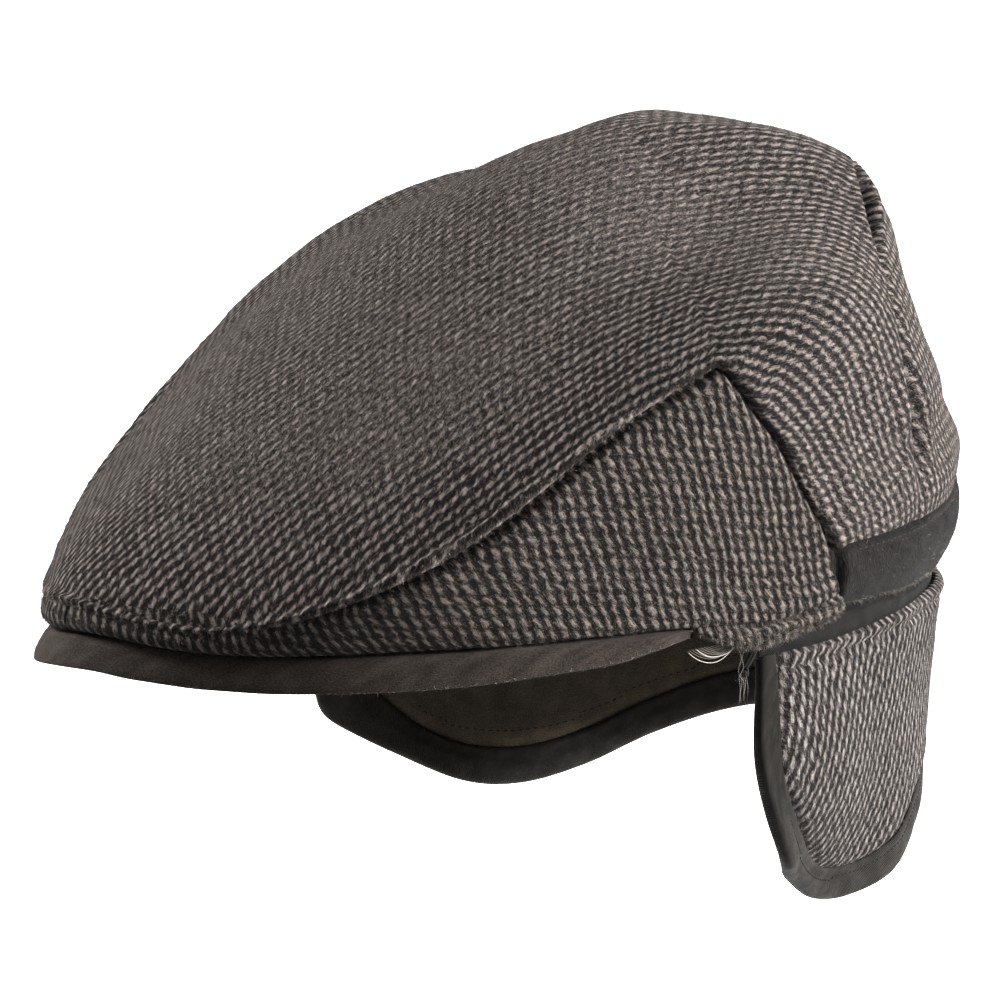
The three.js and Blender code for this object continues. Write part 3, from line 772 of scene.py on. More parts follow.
# %% Rear seam and band heights
SEAM_PHI = [75.5, 79.5, 84.0, 88.5, 94.6, 97.0]
SEAM_LEVEL = [2.0, 1.48, 1.08, 0.72, 0.3, 0.04]
BAND_PHI = [94.6, 112.5, 135.0, 157.5, 180.0]
BAND_TOP = [15.6, 15.8, 17.0, 18.4, 19.2]
BAND_LOW_REACH = [81.6, 76.0, 70.0, 67.6, 67.0]
BAND_LOW_HEIGHT = [0.6, -1.4, -3.6, -4.4, -4.8]
# Angles over which the crown's foot goes from the rear seam to the band
FOOT_TO_BAND = (93.6, 96.4)
CLOTH_MM = 2.0
SEAM_TURN = 3.2


def panel_top(phi):
    """Level of the seam between a side panel and the top: along the crest, then down to the back."""
    return through(np.clip(folded(phi), SEAM_PHI[0], SEAM_PHI[-1]), SEAM_PHI, SEAM_LEVEL)


def crown_foot(phi):
    side = folded(phi)
    at_band = level_at(side, through(side, BAND_PHI, BAND_TOP))
    share = ease(side, *FOOT_TO_BAND)
    return (1 - share) * panel_top(phi) + share * at_band


# Columns are closest at the rear seam: each stretch is its first angle, its last one and the step
COLUMN_STRETCHES = [(0, 73, 0.46), (73, 98, 0.36), (98, 154.8, 0.57), (155, 180, 0.9)]
half = np.concatenate([*(np.arange(*stretch) for stretch in COLUMN_STRETCHES), [180.0]])
around = np.concatenate([half, 360 - half[-2:0:-1]])
print(len(around), "columns go round the crown")

# %% Crease at each side of the back
CREASE_LEVEL = [0.0, 1.0, 1.6, 2.2, 2.6, 3.0, 3.3, 3.6, 3.75]
CREASE_PHI = [114.0, 111.0, 108.6, 109.6, 112.8, 118.8, 127.0, 138.5, 150.0]
CREASE_AT = [0.0, 0.5, 0.8, 1.1, 1.5, 2.0, 2.6, 2.95, 3.3, 3.6, 3.9]
CREASE_DEEP = [0.0, 0.9, 2.2, 3.0, 2.0, 1.1, 1.2, 3.0, 5.2, 2.6, 0.0]

# Half width in mm, and how much wider it is low down
CREASE_HALF, CREASE_WIDER, LOW_LEVEL, LOW_SPAN = 1.7, 0.5, 1.0, 0.5
# The fold near the top draws the cloth in; a lip stands on each side of it, in height, place and half width
FOLD_LEVEL, FOLD_SPAN, FOLD_DRAWN, DRAWN_SPAN = 3.3, 0.4, 0.4, 0.5
LIPS = [(2.2, 4.2, 2.8), (1.1, -4.0, 2.6)]
SIDE_PUFF, SIDE_PUFF_LEVEL, SIDE_PUFF_AT, SIDE_PUFF_HALF = 1.8, 1.05, 5.0, 3.6
# A small wrinkle runs forward from the seam's lower end
WRINKLE_DEEP, WRINKLE_LEVEL, WRINKLE_SPAN = 1.1, 0.82, 0.07
WRINKLE_START, WRINKLE_END = (-13.0, -5.0), (-0.5, 2.0)


def crease_depth(phi, level, points):
    """A narrow seam that opens into a deep fold where it leans towards the middle, and fades at the top.
    The cloth stands up in a lip beside the fold, and low on the seam it puffs out on both sides."""
    across = np.radians(folded(phi) - through(level, CREASE_LEVEL, CREASE_PHI))
    across = across * np.hypot(points[..., 0], points[..., 1] - CENTRE_Y)
    across = across * (1 - FOLD_DRAWN * hump(level, FOLD_LEVEL, DRAWN_SPAN))
    half_width = CREASE_HALF + CREASE_WIDER * hump(level, LOW_LEVEL, LOW_SPAN)
    groove = through(level, CREASE_AT, CREASE_DEEP) * hump(across, 0, half_width)
    beside = ease(across, *WRINKLE_START) * (1 - ease(across, *WRINKLE_END))
    wrinkle = WRINKLE_DEEP * hump(level, WRINKLE_LEVEL, WRINKLE_SPAN) * beside
    lips = hump(level, FOLD_LEVEL, FOLD_SPAN) * sum(high * hump(across, at, wide) for high, at, wide in LIPS)
    low_down = hump(level, SIDE_PUFF_LEVEL, LOW_SPAN)
    return groove + wrinkle - lips - SIDE_PUFF * low_down * hump(np.abs(across), SIDE_PUFF_AT, SIDE_PUFF_HALF)


# %% Crown top surface
CROWN_ROWS, EDGE_ROWS, INNER_ROWS, ROW_SPREAD = 104, 46, 16, 1.22
COARSE_COLUMNS, COARSE_ROWS = 8, 5


def crown_grid(columns, shares):
    """Levels and points of the crown on columns round it, from the cloth's edge up to the apex."""
    foot = crown_foot(columns)[:, None]
    level = foot + (APEX - foot) * shares ** ROW_SPREAD
    return level, crown(columns[:, None], level)


level, base = crown_grid(around, np.linspace(0, 1, CROWN_ROWS))
turns = np.concatenate([base[-1:], base, base[:1]])
out = normals(base, ring=True)
out[:, -1] = [0, 0, 1]
away = border_distance(base, EDGE_ROWS)
border = lengths(turns[:, :1], 0)[1:-1]

# %% Ridge along the seam and puff over the band
# Each is a height in mm, a distance from the edge and a half width
RIDGE, RIDGE_VARIES, RIDGE_PATCH = (1.15, 1.3, 1.0), 0.5, 9.0
SCALLOPS, SCALLOP_PITCH = (0.36, 1.2, 0.9), 3.1
TUFTS, TUFT_PATCH = (0.45, 1.3, 1.1), 2.6
DIP_BEHIND = (0.35, 4.0, 1.6)
REAR_ROLL, REAR_SCALLOPS = (0.7, 3.0, 2.6), (0.6, 0.9, 1.0)
BAND_PUFF, BAND_DIP = (3.0, 8.5, 7.5), (1.1, 24.0, 6.0)
PUFF_MEAN, PUFF_VARIES, PUFF_PATCH = 0.8, 0.5, 24.0
EDGE_ROLL = 1.5
RIDGE_TO_REAR, REAR_TO_BAND = (74.5, 78), (93, 97)
# The far front edge is seen as an outline, where the ridge lies flatter
FLATTER, FLATTER_START, FLATTER_END = 0.6, (268, 296), (352, 360)
TOP_SOFT = [(0.75, 36.0, 0.0), (0.30, 12.0, 3.3), (0.10, 4.0, 6.1)]
CALM_LEVELS = 0.4


def welt(distance, high, middle, width):
    """A rounded band of that height along the edge, at its distance from it."""
    return high * hump(distance, middle, width)


at_side = 1 - ease(folded(around), *REAR_TO_BAND)[:, None]
flatter = 1 - FLATTER * (ease(around, *FLATTER_START) * (1 - ease(around, *FLATTER_END)))[:, None]
scallops = flatter * np.cos(border * 2 * np.pi / SCALLOP_PITCH)
tufts = flatter * softness(base, TUFT_PATCH, 4.0) * welt(away, *TUFTS)
ridge = flatter * (1 + RIDGE_VARIES / RIDGE[0] * softness(base, RIDGE_PATCH, 4.0)) * welt(away, *RIDGE)
ridge = ridge + scallops * welt(away, *SCALLOPS) + tufts - welt(away, *DIP_BEHIND)
down_back = ease(folded(around), *RIDGE_TO_REAR)[:, None]
rear = welt(away, *REAR_ROLL) + SCALLOPS[0] * scallops * welt(away, *REAR_SCALLOPS) + tufts
ridge = (1 - down_back) * ridge + down_back * rear
puff = welt(away, *BAND_PUFF) * (PUFF_MEAN + PUFF_VARIES * softness(base, PUFF_PATCH, 1.7))
puff = puff - welt(away, *BAND_DIP) + tufts
calm = np.clip((APEX - level) / CALM_LEVELS, 0, 1)
rise = at_side * ridge + (1 - at_side) * puff + rolled(away, EDGE_ROLL) + calm * uneven(base, *TOP_SOFT)
rise = rise - crease_depth(around[:, None], level, base)
outer = base + out * rise[..., None]

# %% Weave and brushing of the crown
# The places start as if unrolled from the apex, which lets the flattening settle without folds
UNROLLED = 0.7
CORNER_FROM, CORNER_TO, CORNER_STEP = 91.5, 98.5, 2
WEAVE_A, WEAVE_B = -38.0, 77.0
BACK_FROM, BACK_TO, BACK_LESS = -25, 40, 0.8
BRUSHED_FROM, BRUSHED_TO, BRUSHED_MEAN, BRUSHED_VARIES = 8, 60, 0.9, 0.4
LOW_BRUSHED, LOW_BRUSHED_LEVEL, LOW_BRUSHED_SPAN = 0.45, 0.55, 0.5
unrolled = lengths(base[:, ::-1], 1)[:, ::-1, None]
wide_of = np.linalg.norm(base[..., :2], axis=-1, keepdims=True)
start = base[..., :2] / np.maximum(wide_of, SLIGHT) * (UNROLLED * unrolled + (1 - UNROLLED) * wide_of)
near_corner = np.flatnonzero((folded(around) > CORNER_FROM) & (folded(around) < CORNER_TO))[::CORNER_STEP]
coarse_columns = np.append(np.arange(0, len(base), COARSE_COLUMNS), near_corner)
top_places = flat_places(base, start, coarse_columns, COARSE_ROWS, ring=True)
stretch = np.linalg.norm(np.diff(top_places, axis=0), axis=-1)
stretch = stretch / np.linalg.norm(np.diff(base, axis=0), axis=-1).clip(SLIGHT)
print("the flattened top is", np.round(np.percentile(stretch[:, :90], [2, 50, 98]), 2), "times as wide")
back = ease(base[..., 1], BACK_FROM, BACK_TO)
brushed = ease(away, BRUSHED_FROM, BRUSHED_TO) * (1 - BACK_LESS * back)
brushed = brushed * (BRUSHED_MEAN + BRUSHED_VARIES * softness(base, 45.0, 5.0))
brushed = brushed + LOW_BRUSHED * hump(level, LOW_BRUSHED_LEVEL, LOW_BRUSHED_SPAN) * back
top_flat = lattice(top_places, WEAVE_A, WEAVE_B, np.clip(brushed, 0, 1))

# %% Crown piece
FOOT_PROUD = 0.3
lining_base = crown_grid(around, np.linspace(0, 1, INNER_ROWS))[1]
inner = lining_base - normals(lining_base, ring=True) * CLOTH_MM
inner[:, -1] = lining_base[:, -1] - [0, 0, CLOTH_MM]
inner[:, 0] += FOOT_PROUD * out[:, 0]
top_outer = outer
inner_rows = np.round(np.linspace(0, 1, INNER_ROWS) * (CROWN_ROWS - 1)).astype(int)
crown_piece = make_piece("crown_cloth", *wall_mesh(
    outer, inner, top_flat, top_flat[:, inner_rows], ring=True, pole=True), wool_top, ["crown_top"])
close_pole(crown_piece)
print("the crown reaches", round(float(outer[..., 2].max()), 1), "mm up")

# %% [markdown]
# ## The side panels
#
# A side panel is one strip of the same wool, from the fold over the peak up to the seam, where it dips into
# the shadow of the ridge and runs on under the top's edge. It narrows behind to a point that runs down the
# rear seam.

# %% Side panels
SIDE_ROWS = 54
SIDE_STRETCHES = [(0.12, 73, 0.55), (73, 96.01, 0.28)]
LEVEL_STEP = 0.05
SIDE_SOFT = [(0.6, 30.0, 2.0), (0.22, 9.0, 5.0), (0.08, 4.0, 8.0)]
SIDE_CALM, SIDE_SUNK, SUNK_MORE = (3, 11), (2.0, 4.6), 0.5
SUNK_LESS, LESS_FROM, LESS_TO = 0.8, 75, 79
FOOT_ROLL = (0.9, 3.0, 3.2)
PUCKER, PUCKER_AT, PUCKER_HALF, PUCKER_SIZE = 0.25, 6.0, 3.0, 3.6
# A noise that is drawn out upright, as gathers are
UPRIGHT = np.array([1, 1, 0.3])
SIDE_WEAVE = (-7.4, 106.0)


def side_panel(sign):
    """Grid over one side: columns round the head, rows from the folded foot up to the seam."""
    columns = np.concatenate([np.arange(*stretch) for stretch in SIDE_STRETCHES])
    columns = columns if sign > 0 else -columns[::-1]
    seam = panel_top(columns)[:, None]
    below = crown(columns[:, None], seam - LEVEL_STEP)
    per_level = np.linalg.norm(crown(columns[:, None], seam) - below, axis=-1) / LEVEL_STEP
    top = seam + SEAM_TURN / per_level
    share = 0.5 - 0.5 * np.cos(np.pi * np.linspace(0, 1, SIDE_ROWS))
    grid = crown(columns[:, None], top * share)
    run = lengths(grid[:, :1], 0)
    along = np.broadcast_to(run - (0 if sign > 0 else run[-1]), grid.shape[:2])
    return columns, grid, np.stack([along, lengths(grid, 1)], -1)


def dress_side(sign, name, node):
    """Makes one side panel: rolled at its foot, and sunk along the seam so that it runs under the top."""
    columns, grid, flat = side_panel(sign)
    below, above = edge_distance(grid, 0), edge_distance(grid, -1)
    pucker = PUCKER * softness(grid * UPRIGHT, PUCKER_SIZE, 1.1) * hump(above, PUCKER_AT, PUCKER_HALF)
    sunk = CLOTH_MM + SUNK_MORE - SUNK_LESS * ease(np.abs(columns), LESS_FROM, LESS_TO)[:, None]
    rise = welt(below, *FOOT_ROLL) + rolled(below, EDGE_ROLL) - sunk * (1 - ease(above, *SIDE_SUNK))
    rise = rise + uneven(grid, *SIDE_SOFT) * ease(above, *SIDE_CALM) + pucker
    out = normals(grid)
    outer = grid + out * rise[..., None]
    inner = grid - out * CLOTH_MM
    places = lattice(flat, *SIDE_WEAVE)
    # The darker copy of the wool paints the half shade of the side
    make_piece(name, *wall_mesh(outer, inner, places, places), wool_side_painted_shade, [node])
    return outer, places


left_outer, left_places = dress_side(1, "side_cloth_left", "side_panel_left")
right_outer, right_places = dress_side(-1, "side_cloth_right", "side_panel_right")

# %% [markdown]
# ## The peak
#
# The peak is a stiff board covered with suede cloth. Only its rounded edge shows below the side panels. It is
# flat from the head opening to the crown's foot, turns down to its edge, and tapers where its ends tuck
# behind the hem.

# %% Peak
PEAK_COLUMNS, FLAT_ROWS, TURN_ROWS = 330, 12, 26
PEAK_END, PEAK_THICK, PEAK_EDGE = 73.5, 4.2, 4.5
PEAK_GAP = 0.35
OPENING_HALF, OPENING_FRONT = 80.5, 69.0
PEAK_PHI = [0, 22.5, 45, 67.5, 90]
PEAK_REACH = [3.4, 3.7, 4.8, 3.6, 1.0]
PEAK_DROP = [4.6, 4.9, 4.9, 2.0, 0.5]
# Shares of the turned edge: its first row, where it starts to round and where it would close
FIRST_TURN, TURN_START, TURN_CLOSED, DROP_POWER = 0.06, 0.3, 1.004, 1.3
FLAT_SHARE = 0.97
# Over the last angles the board narrows, turns less and draws back behind the hem
NARROW, NARROW_SPAN, LESS_REACH = 0.62, 11, 0.25
DRAWN_BACK, DRAWN_BACK_SPAN = 3.2, 4.5
PEAK_SOFT, PEAK_SOFT_BELOW = [(0.22, 15.0, 2.2), (0.10, 4.0, 4.4)], [(0.2, 12.0, 6.0)]


def peak_grid():
    """Top and bottom of the board: columns round the front, rows from its edge in to the head opening."""
    phi = np.linspace(-PEAK_END, PEAK_END, PEAK_COLUMNS)[:, None]
    foot = crown_profile(phi, 0.0)
    side = np.abs(phi)
    a = np.radians(phi)
    opening = 1 / np.hypot(np.sin(a) / OPENING_HALF, np.cos(a) / OPENING_FRONT)
    top = foot[..., 1] - PEAK_GAP
    flat_reach = opening + (foot[..., 0] - opening) * np.linspace(0, FLAT_SHARE, FLAT_ROWS)
    t = FIRST_TURN + (1 - FIRST_TURN) * np.sin(np.pi / 2 * np.linspace(0, 1, TURN_ROWS))
    swell = np.sqrt(1 - (np.maximum(t - TURN_START, 0) / (TURN_CLOSED - TURN_START)) ** 2)
    narrow = 1 - NARROW * (1 - ease(PEAK_END - side, 0, NARROW_SPAN))
    thick = PEAK_EDGE * swell * narrow
    middle = top - through(side, PEAK_PHI, PEAK_DROP) * narrow * t ** DROP_POWER - PEAK_EDGE * narrow / 2
    turned = through(side, PEAK_PHI, PEAK_REACH) * t * (1 - LESS_REACH + LESS_REACH * narrow)
    turned_reach = foot[..., 0] + turned - DRAWN_BACK * t * (1 - ease(PEAK_END - side, 0, DRAWN_BACK_SPAN))
    reach = np.concatenate([flat_reach, turned_reach], 1)
    high = np.concatenate([top + 0 * flat_reach, middle + thick / 2], 1)
    low = np.concatenate([top - PEAK_THICK * narrow + 0 * flat_reach, middle - thick / 2], 1)
    return [place(phi, reach, z)[:, ::-1] for z in (high, low)]


peak_high, peak_low = peak_grid()
peak_high = peak_high + normals(peak_high) * uneven(peak_high, *PEAK_SOFT)[..., None]
peak_low = peak_low - normals(peak_low) * uneven(peak_low, *PEAK_SOFT_BELOW)[..., None]
peak_flat = np.stack([lengths(peak_high, 0), lengths(peak_high, 1)], -1)
make_piece("peak_suede", *wall_mesh(peak_high, peak_low, peak_flat, -peak_flat), suede_peak, ["peak"],
           "suede_cloth")

# %% [markdown]
# ## Band and hem
#
# At the back the crown is gathered onto a band of suede cloth, whose top edge is stitched a few millimetres
# down and whose lower edge frays. Below each side panel, between peak and band, a hem of wool is rolled
# outwards. Both are strips whose section is carried round the head.

# %% Back band
BAND_UNDER, BAND_OVER = 2.4, 1.2
BAND_START_LOW, BAND_START_TOP = 95.0, 93.6
BAND_COLUMNS, BAND_ROWS, BAND_SWELL = 420, 27, 2.0
STITCH_DOWN = BAND_UNDER + 2.6
# The stitched line sinks; the lower edge is rolled; the upper edge and the ends run under the wool
STITCH_LINE, BAND_EDGE_ROLL = (0.55, STITCH_DOWN, 0.7), 0.7
COVERED_ABOVE, COVERED_END, UNDER_WOOL = (1.4, 3.6), (1.0, 4.5), 0.6


def band_points(phi, v):
    """Point of the band: reach swells out as a sine from its lower to its upper edge."""
    side = folded(phi)
    top = through(side, BAND_PHI, BAND_TOP) + BAND_UNDER
    top_reach = crown_profile(side, level_at(side, top))[..., 0]
    low_reach = through(side, BAND_PHI, BAND_LOW_REACH)
    low = through(side, BAND_PHI, BAND_LOW_HEIGHT) - BAND_OVER
    reach = low_reach + (top_reach - low_reach) * np.sin(np.pi / 2 * v)
    reach = reach + BAND_SWELL * np.sin(np.pi * v)
    return place(phi, reach, low + (top - low) * v)


v = np.linspace(0, 1, BAND_ROWS)[None]
start = BAND_START_LOW + (BAND_START_TOP - BAND_START_LOW) * v
u = np.linspace(0, 1, BAND_COLUMNS)[:, None]
band_base = band_points(start + (360 - 2 * start) * u, np.broadcast_to(v, (BAND_COLUMNS, BAND_ROWS)))
band_above, band_below = edge_distance(band_base, -1), edge_distance(band_base, 0)
band_rise = rolled(band_below, BAND_EDGE_ROLL) - welt(band_above, *STITCH_LINE)
band_rise = band_rise + uneven(band_base, (0.4, 16.0, 3.0)) + uneven(band_base * UPRIGHT, (0.12, 4.0, 1.0))
band_run = lengths(band_base, 0)
band_end = np.minimum(band_run, band_run[-1] - band_run)
open_above, open_end = ease(band_above, *COVERED_ABOVE), ease(band_end, *COVERED_END)
covered = 1 - open_above * open_end
band_rise = band_rise * (1 - covered) - (CLOTH_MM + UNDER_WOOL) * covered
band_out = normals(band_base)
band_outer = band_base + band_out * band_rise[..., None]
band_flat = np.stack([lengths(band_base, 0), lengths(band_base, 1)], -1)
make_piece("band_suede", *wall_mesh(band_outer, band_base - band_out * CLOTH_MM, band_flat, band_flat),
           suede_band, ["back_band"], "suede_cloth")


# %% Hem strips
HEM_START, HEM_END, HEM_HEIGHT = 74.0, 96.3, 4.6
HEM_COLUMNS, HEM_ROWS = 130, 18
HEM_INTO_PANEL = 2.4
# It grows from a share of its size over the first angles, and is fullest where the flap's front hangs
HEM_FIRST, HEM_GROWN = 0.15, 6
BULGE, BULGE_MORE, BULGE_AT, BULGE_SPAN = 1.7, 0.9, 82, 4
DEEPER, DEEPER_AT, DEEPER_SPAN = 0.9, 81.5, 3.5
LOW_EDGE_IN, INNER_LOW_IN = 0.7, 0.6
HEM_SOFT = [(0.35, 6.0, 4.0), (0.15, 2.5, 9.0)]
HEM_WEAVE_SHIFT, HEM_BRUSHED = 6.0, 0.4


def hem(sign, name, node):
    """A roll: reach swells as a half circle between its lower and upper edge."""
    phi = np.linspace(HEM_START, HEM_END, HEM_COLUMNS)
    phi = (phi if sign > 0 else -phi[::-1])[:, None]
    v = np.linspace(0, 1, HEM_ROWS)[None]
    foot = crown_profile(phi, 0.0)
    tall = HEM_FIRST + (1 - HEM_FIRST) * ease(np.abs(phi), HEM_START - 1, HEM_START + HEM_GROWN)
    bulge = BULGE + BULGE_MORE * hump(np.abs(phi), BULGE_AT, BULGE_SPAN)
    bulge = bulge * tall * np.sqrt(np.maximum(np.sin(np.pi * v), 0))
    deep = (HEM_HEIGHT + DEEPER * hump(np.abs(phi), DEEPER_AT, DEEPER_SPAN)) * tall
    heights = foot[..., 1] - PEAK_GAP - deep * (1 - v)
    grid = place(phi, foot[..., 0] + bulge - LOW_EDGE_IN * (1 - v), heights)
    inner = place(phi, foot[..., 0] - CLOTH_MM - INNER_LOW_IN * (1 - v), heights + HEM_INTO_PANEL * v)
    outer = grid + normals(grid) * uneven(grid, *HEM_SOFT)[..., None]
    flat = np.stack([lengths(grid, 0), lengths(grid, 1) - HEM_WEAVE_SHIFT], -1)
    places = lattice(flat, *SIDE_WEAVE, HEM_BRUSHED)
    # The hem takes the same darker copy of the wool, painted shade
    make_piece(name, *wall_mesh(outer, inner, places, places), wool_side_painted_shade, [node])
    return outer, places


hem_left, hem_places = hem(1, "hem_roll_left", "hem_strip_left")
hem_right, hem_right_places = hem(-1, "hem_roll_right", "hem_strip_right")

# %% [markdown]
# ## The earflap
#
# The earflap is one long piece round the sides and the back. It is wool outside and suede cloth inside, bound
# with twill, and it hangs from a tape under the hem. Its front ends curl forwards. Nine places on each half
# give the angle, reach and height of its top, middle and lower edge.

# %% Earflap surface
# Each row is one place along the flap, from its front edge to the middle of the back: top, middle, lower edge
FLAP = np.array([
    [[83.5, 84.3, -9.2], [79.6, 96.0, -33], [82.0, 98.0, -59.5]],
    [[88.5, 83.6, -8.8], [86.0, 93.0, -38], [87.2, 83.0, -70.0]],
    [[95.0, 81.8, -8.2], [94.5, 86.5, -42], [95.0, 74.0, -78.6]],
    [[104, 79.0, -7.8], [104, 80.0, -43], [104, 72.3, -81.0]],
    [[114, 75.6, -7.8], [114, 75.6, -41], [114.5, 74.0, -77.8]],
    [[126, 72.4, -8.0], [126, 71.6, -37], [126.5, 71.0, -69.0]],
    [[142, 70.0, -8.4], [142, 68.0, -33], [142, 66.2, -61.0]],
    [[160, 67.5, -8.8], [160, 65.6, -31], [160, 64.2, -56.5]],
    [[180, 66.8, -9.0], [180, 65.0, -30], [180, 63.9, -54.3]],
])
FLAP_SWAY, FLAP_SWAY_END, FLAP_SWAY_CURVE = 7.5, 0.6, 1.2
past_middle = FLAP[[7, 6]] * np.array([-1, 1, 1]) + np.array([360, 0, 0])
flap_rows = np.concatenate([[2 * FLAP[0] - FLAP[1]], FLAP, past_middle])


def flap_points(q, w):
    """Point of the flap: q from the left front edge (0) round to the right one (2), w from top to bottom."""
    q, w = np.broadcast_arrays(np.asarray(q, float), np.asarray(w, float))
    left = q <= 1
    s = np.where(left, q, 2 - q)
    f = s * (len(FLAP) - 1)
    i = np.clip(np.floor(f), 0, len(FLAP) - 1).astype(int)
    here = catmull(*(flap_rows[i + k] for k in range(4)), (f - i)[..., None, None])
    top, middle, low = here[..., 0, :], here[..., 1, :], here[..., 2, :]
    down = w[..., None]
    upper = catmull(2 * top - middle, top, middle, low, 2 * down)
    lower = catmull(top, middle, low, 2 * low - middle, 2 * down - 1)
    phi, reach, height = np.moveaxis(np.where(down < 0.5, upper, lower), -1, 0)
    points = place(phi, reach, height)
    front = np.clip(1 - s / FLAP_SWAY_END, 0, 1) ** FLAP_SWAY_CURVE
    points[..., 1] += np.where(left, 1, -1) * FLAP_SWAY * front * w
    points[..., 0] *= np.where(left, 1, -1)
    return points


NORMAL_STEP, NORMAL_EDGE = 0.003, 0.004


def flap_normals(q, w):
    """Normals of the flap, from two short steps to either side of each place."""
    e = NORMAL_STEP
    q, w = np.clip(q, NORMAL_EDGE, 2 - NORMAL_EDGE), np.clip(w, NORMAL_EDGE, 1 - NORMAL_EDGE)
    n = np.cross(flap_points(q + e, w) - flap_points(q - e, w), flap_points(q, w - e) - flap_points(q, w + e))
    return n / np.linalg.norm(n, axis=-1, keepdims=True)


some = np.linspace(0, 1, 41)
flap_drop = lengths(flap_points(some[:, None], np.linspace(0, 1, 30)[None]), 1)[:, -1]
print("the flap hangs", round(float(flap_drop.max()), 1), "mm at its deepest")

# %% Border of the wool inside the binding
BINDING_FRONT, BINDING_CORNER, CORNER_RISE, BINDING_WIDTH = 0.066, 0.17, 0.34, 10.0
HALF_FLAP_MM = 185.0
UNDER_BINDING = 4.5
cloth_front = BINDING_FRONT - UNDER_BINDING / HALF_FLAP_MM


def cloth_low(s, grown=0.0):
    """Lower border of the wool, a quarter of an ellipse up to the front edge, grown outwards by some mm."""
    full = 1 - (BINDING_WIDTH - grown) / np.interp(s, some, flap_drop)
    x = np.clip((s - BINDING_FRONT + grown / HALF_FLAP_MM) / BINDING_CORNER, 0, 1)
    return full - CORNER_RISE * (1 - np.sqrt(1 - (1 - x) ** 2))


CORNER_COLUMNS, REST_COLUMNS, CORNER_POWER = 30, 156, 1.15
corner_share = (1 - np.cos(np.pi / 2 * np.linspace(0, 1, CORNER_COLUMNS))) ** CORNER_POWER
corner_places = cloth_front + BINDING_CORNER * corner_share
rest_places = np.linspace(cloth_front + BINDING_CORNER, 1, REST_COLUMNS)[1:]
half_flap = np.concatenate([corner_places, rest_places])
along_flap = np.concatenate([half_flap, 2 - half_flap[-2::-1]])


def flap_grid(rows):
    """Columns along the flap, rows from the wool's lower border up to the tape."""
    q = along_flap[:, None]
    w = cloth_low(np.minimum(q, 2 - q), UNDER_BINDING) * np.linspace(1, 0, rows)[None]
    q = np.broadcast_to(q, w.shape)
    grid = flap_points(q, w)
    middle = lengths(grid, 0)[:, rows // 2]
    flat = np.stack([np.broadcast_to(middle[:, None], w.shape), lengths(grid, 1)], -1)
    return grid, flap_normals(q, w), flat


def sheet_area(grid):
    """Area of a grid in square metres, as the sum of its quads' two halves."""
    a, b, c, d = grid[:-1, :-1], grid[1:, :-1], grid[1:, 1:], grid[:-1, 1:]
    halves = np.linalg.norm(np.cross(b - a, c - a), axis=-1) + np.linalg.norm(np.cross(c - a, d - a), axis=-1)
    return float(halves.sum() / 2 * MM * MM)


# %% Wool of the earflap
FLAP_CLOTH, LINING_CLOTH, LINING_GAP = 1.7, 1.2, 0.8
FLAP_WOOL_ROWS, FLAP_STEP = 52, 6
FLAP_TOP_WELT, FLAP_TOP_LINE, FLAP_TOP_ROLL = (0.6, 1.6, 1.3), (1.1, 4.2, 0.9), 1.3
# Inside the binding the wool stands a little proud, and under it the wool sinks
PROUD_INSIDE, PROUD_SPAN, SUNK_UNDER, SUNK_SPAN = 0.7, (-0.4, 3.2), 0.8, (-1.2, 0.8)
WELT_SPAN, SOFT_SPAN = (-1, 3), (0, 6)
FLAP_SOFT = [(0.55, 22.0, 5.5), (0.25, 8.0, 2.5), (0.08, 3.5, 7.0)]
FLAP_WEAVE, FLAP_BRUSHED = (-50.7, 62.6), 0.12
grid, out, flat = flap_grid(FLAP_WOOL_ROWS)
low_edge, top_edge = edge_distance(grid, 0), edge_distance(grid, -1)
from_front = lengths(grid, 0)
end_edge = np.minimum(from_front, from_front[-1] - from_front)
border = np.minimum(low_edge, end_edge) - UNDER_BINDING
flap_rise = welt(top_edge, *FLAP_TOP_WELT) - welt(top_edge, *FLAP_TOP_LINE) + rolled(top_edge, FLAP_TOP_ROLL)
flap_rise = flap_rise * ease(border, *WELT_SPAN) + PROUD_INSIDE * ease(border, *PROUD_SPAN)
flap_rise = flap_rise - SUNK_UNDER * (1 - ease(border, *SUNK_SPAN))
flap_rise = flap_rise + uneven(grid, *FLAP_SOFT) * ease(border, *SOFT_SPAN)
flap_outer = grid + out * flap_rise[..., None]
flap_places = flat_places(grid, flat, np.arange(0, len(grid), FLAP_STEP), FLAP_STEP)
flap_flat = lattice(flap_places, *FLAP_WEAVE, FLAP_BRUSHED)
flap_back = grid - out * (FLAP_CLOTH - 0.1)
flap_piece = make_piece("earflap_wool", *wall_mesh(flap_outer, flap_back, flap_flat, flap_flat),
                        wool_flap, ["earflap_cloth"])
wool_area = sheet_area(grid)

# %% Lining of the earflap
LINING_STITCH = 4.0
LINING_SPAN, LINING_LINE, LINING_UNDER = (-1, 4), (0.5, LINING_STITCH, 0.8), 0.9
LINING_SOFT, LINING_EDGE, LINING_RELIEF = (0.5, 15.0, 9.0), (-0.6, 2.0), 0.6
lining_shift = -FLAP_CLOTH - LINING_GAP * ease(border, *LINING_SPAN)
inside_rise = welt(border, *LINING_LINE) + LINING_UNDER * (1 - ease(border, *LINING_EDGE))
inside_rise = inside_rise + uneven(grid, LINING_SOFT) * ease(border, *SOFT_SPAN)
lining_out = grid + out * lining_shift[..., None]
lining_in = lining_out + out * (-LINING_CLOTH + LINING_RELIEF * inside_rise)[..., None]
half_columns = np.unique(np.append(np.arange(0, len(grid), 2), len(grid) - 1))
lining_piece = make_piece("earflap_suede", *wall_mesh(
    lining_out[half_columns], lining_in[half_columns], flat[half_columns], flat[half_columns]),
    suede_lining_painted_light, ["earflap_lining"], "suede_cloth")
sheet_area(lining_out)

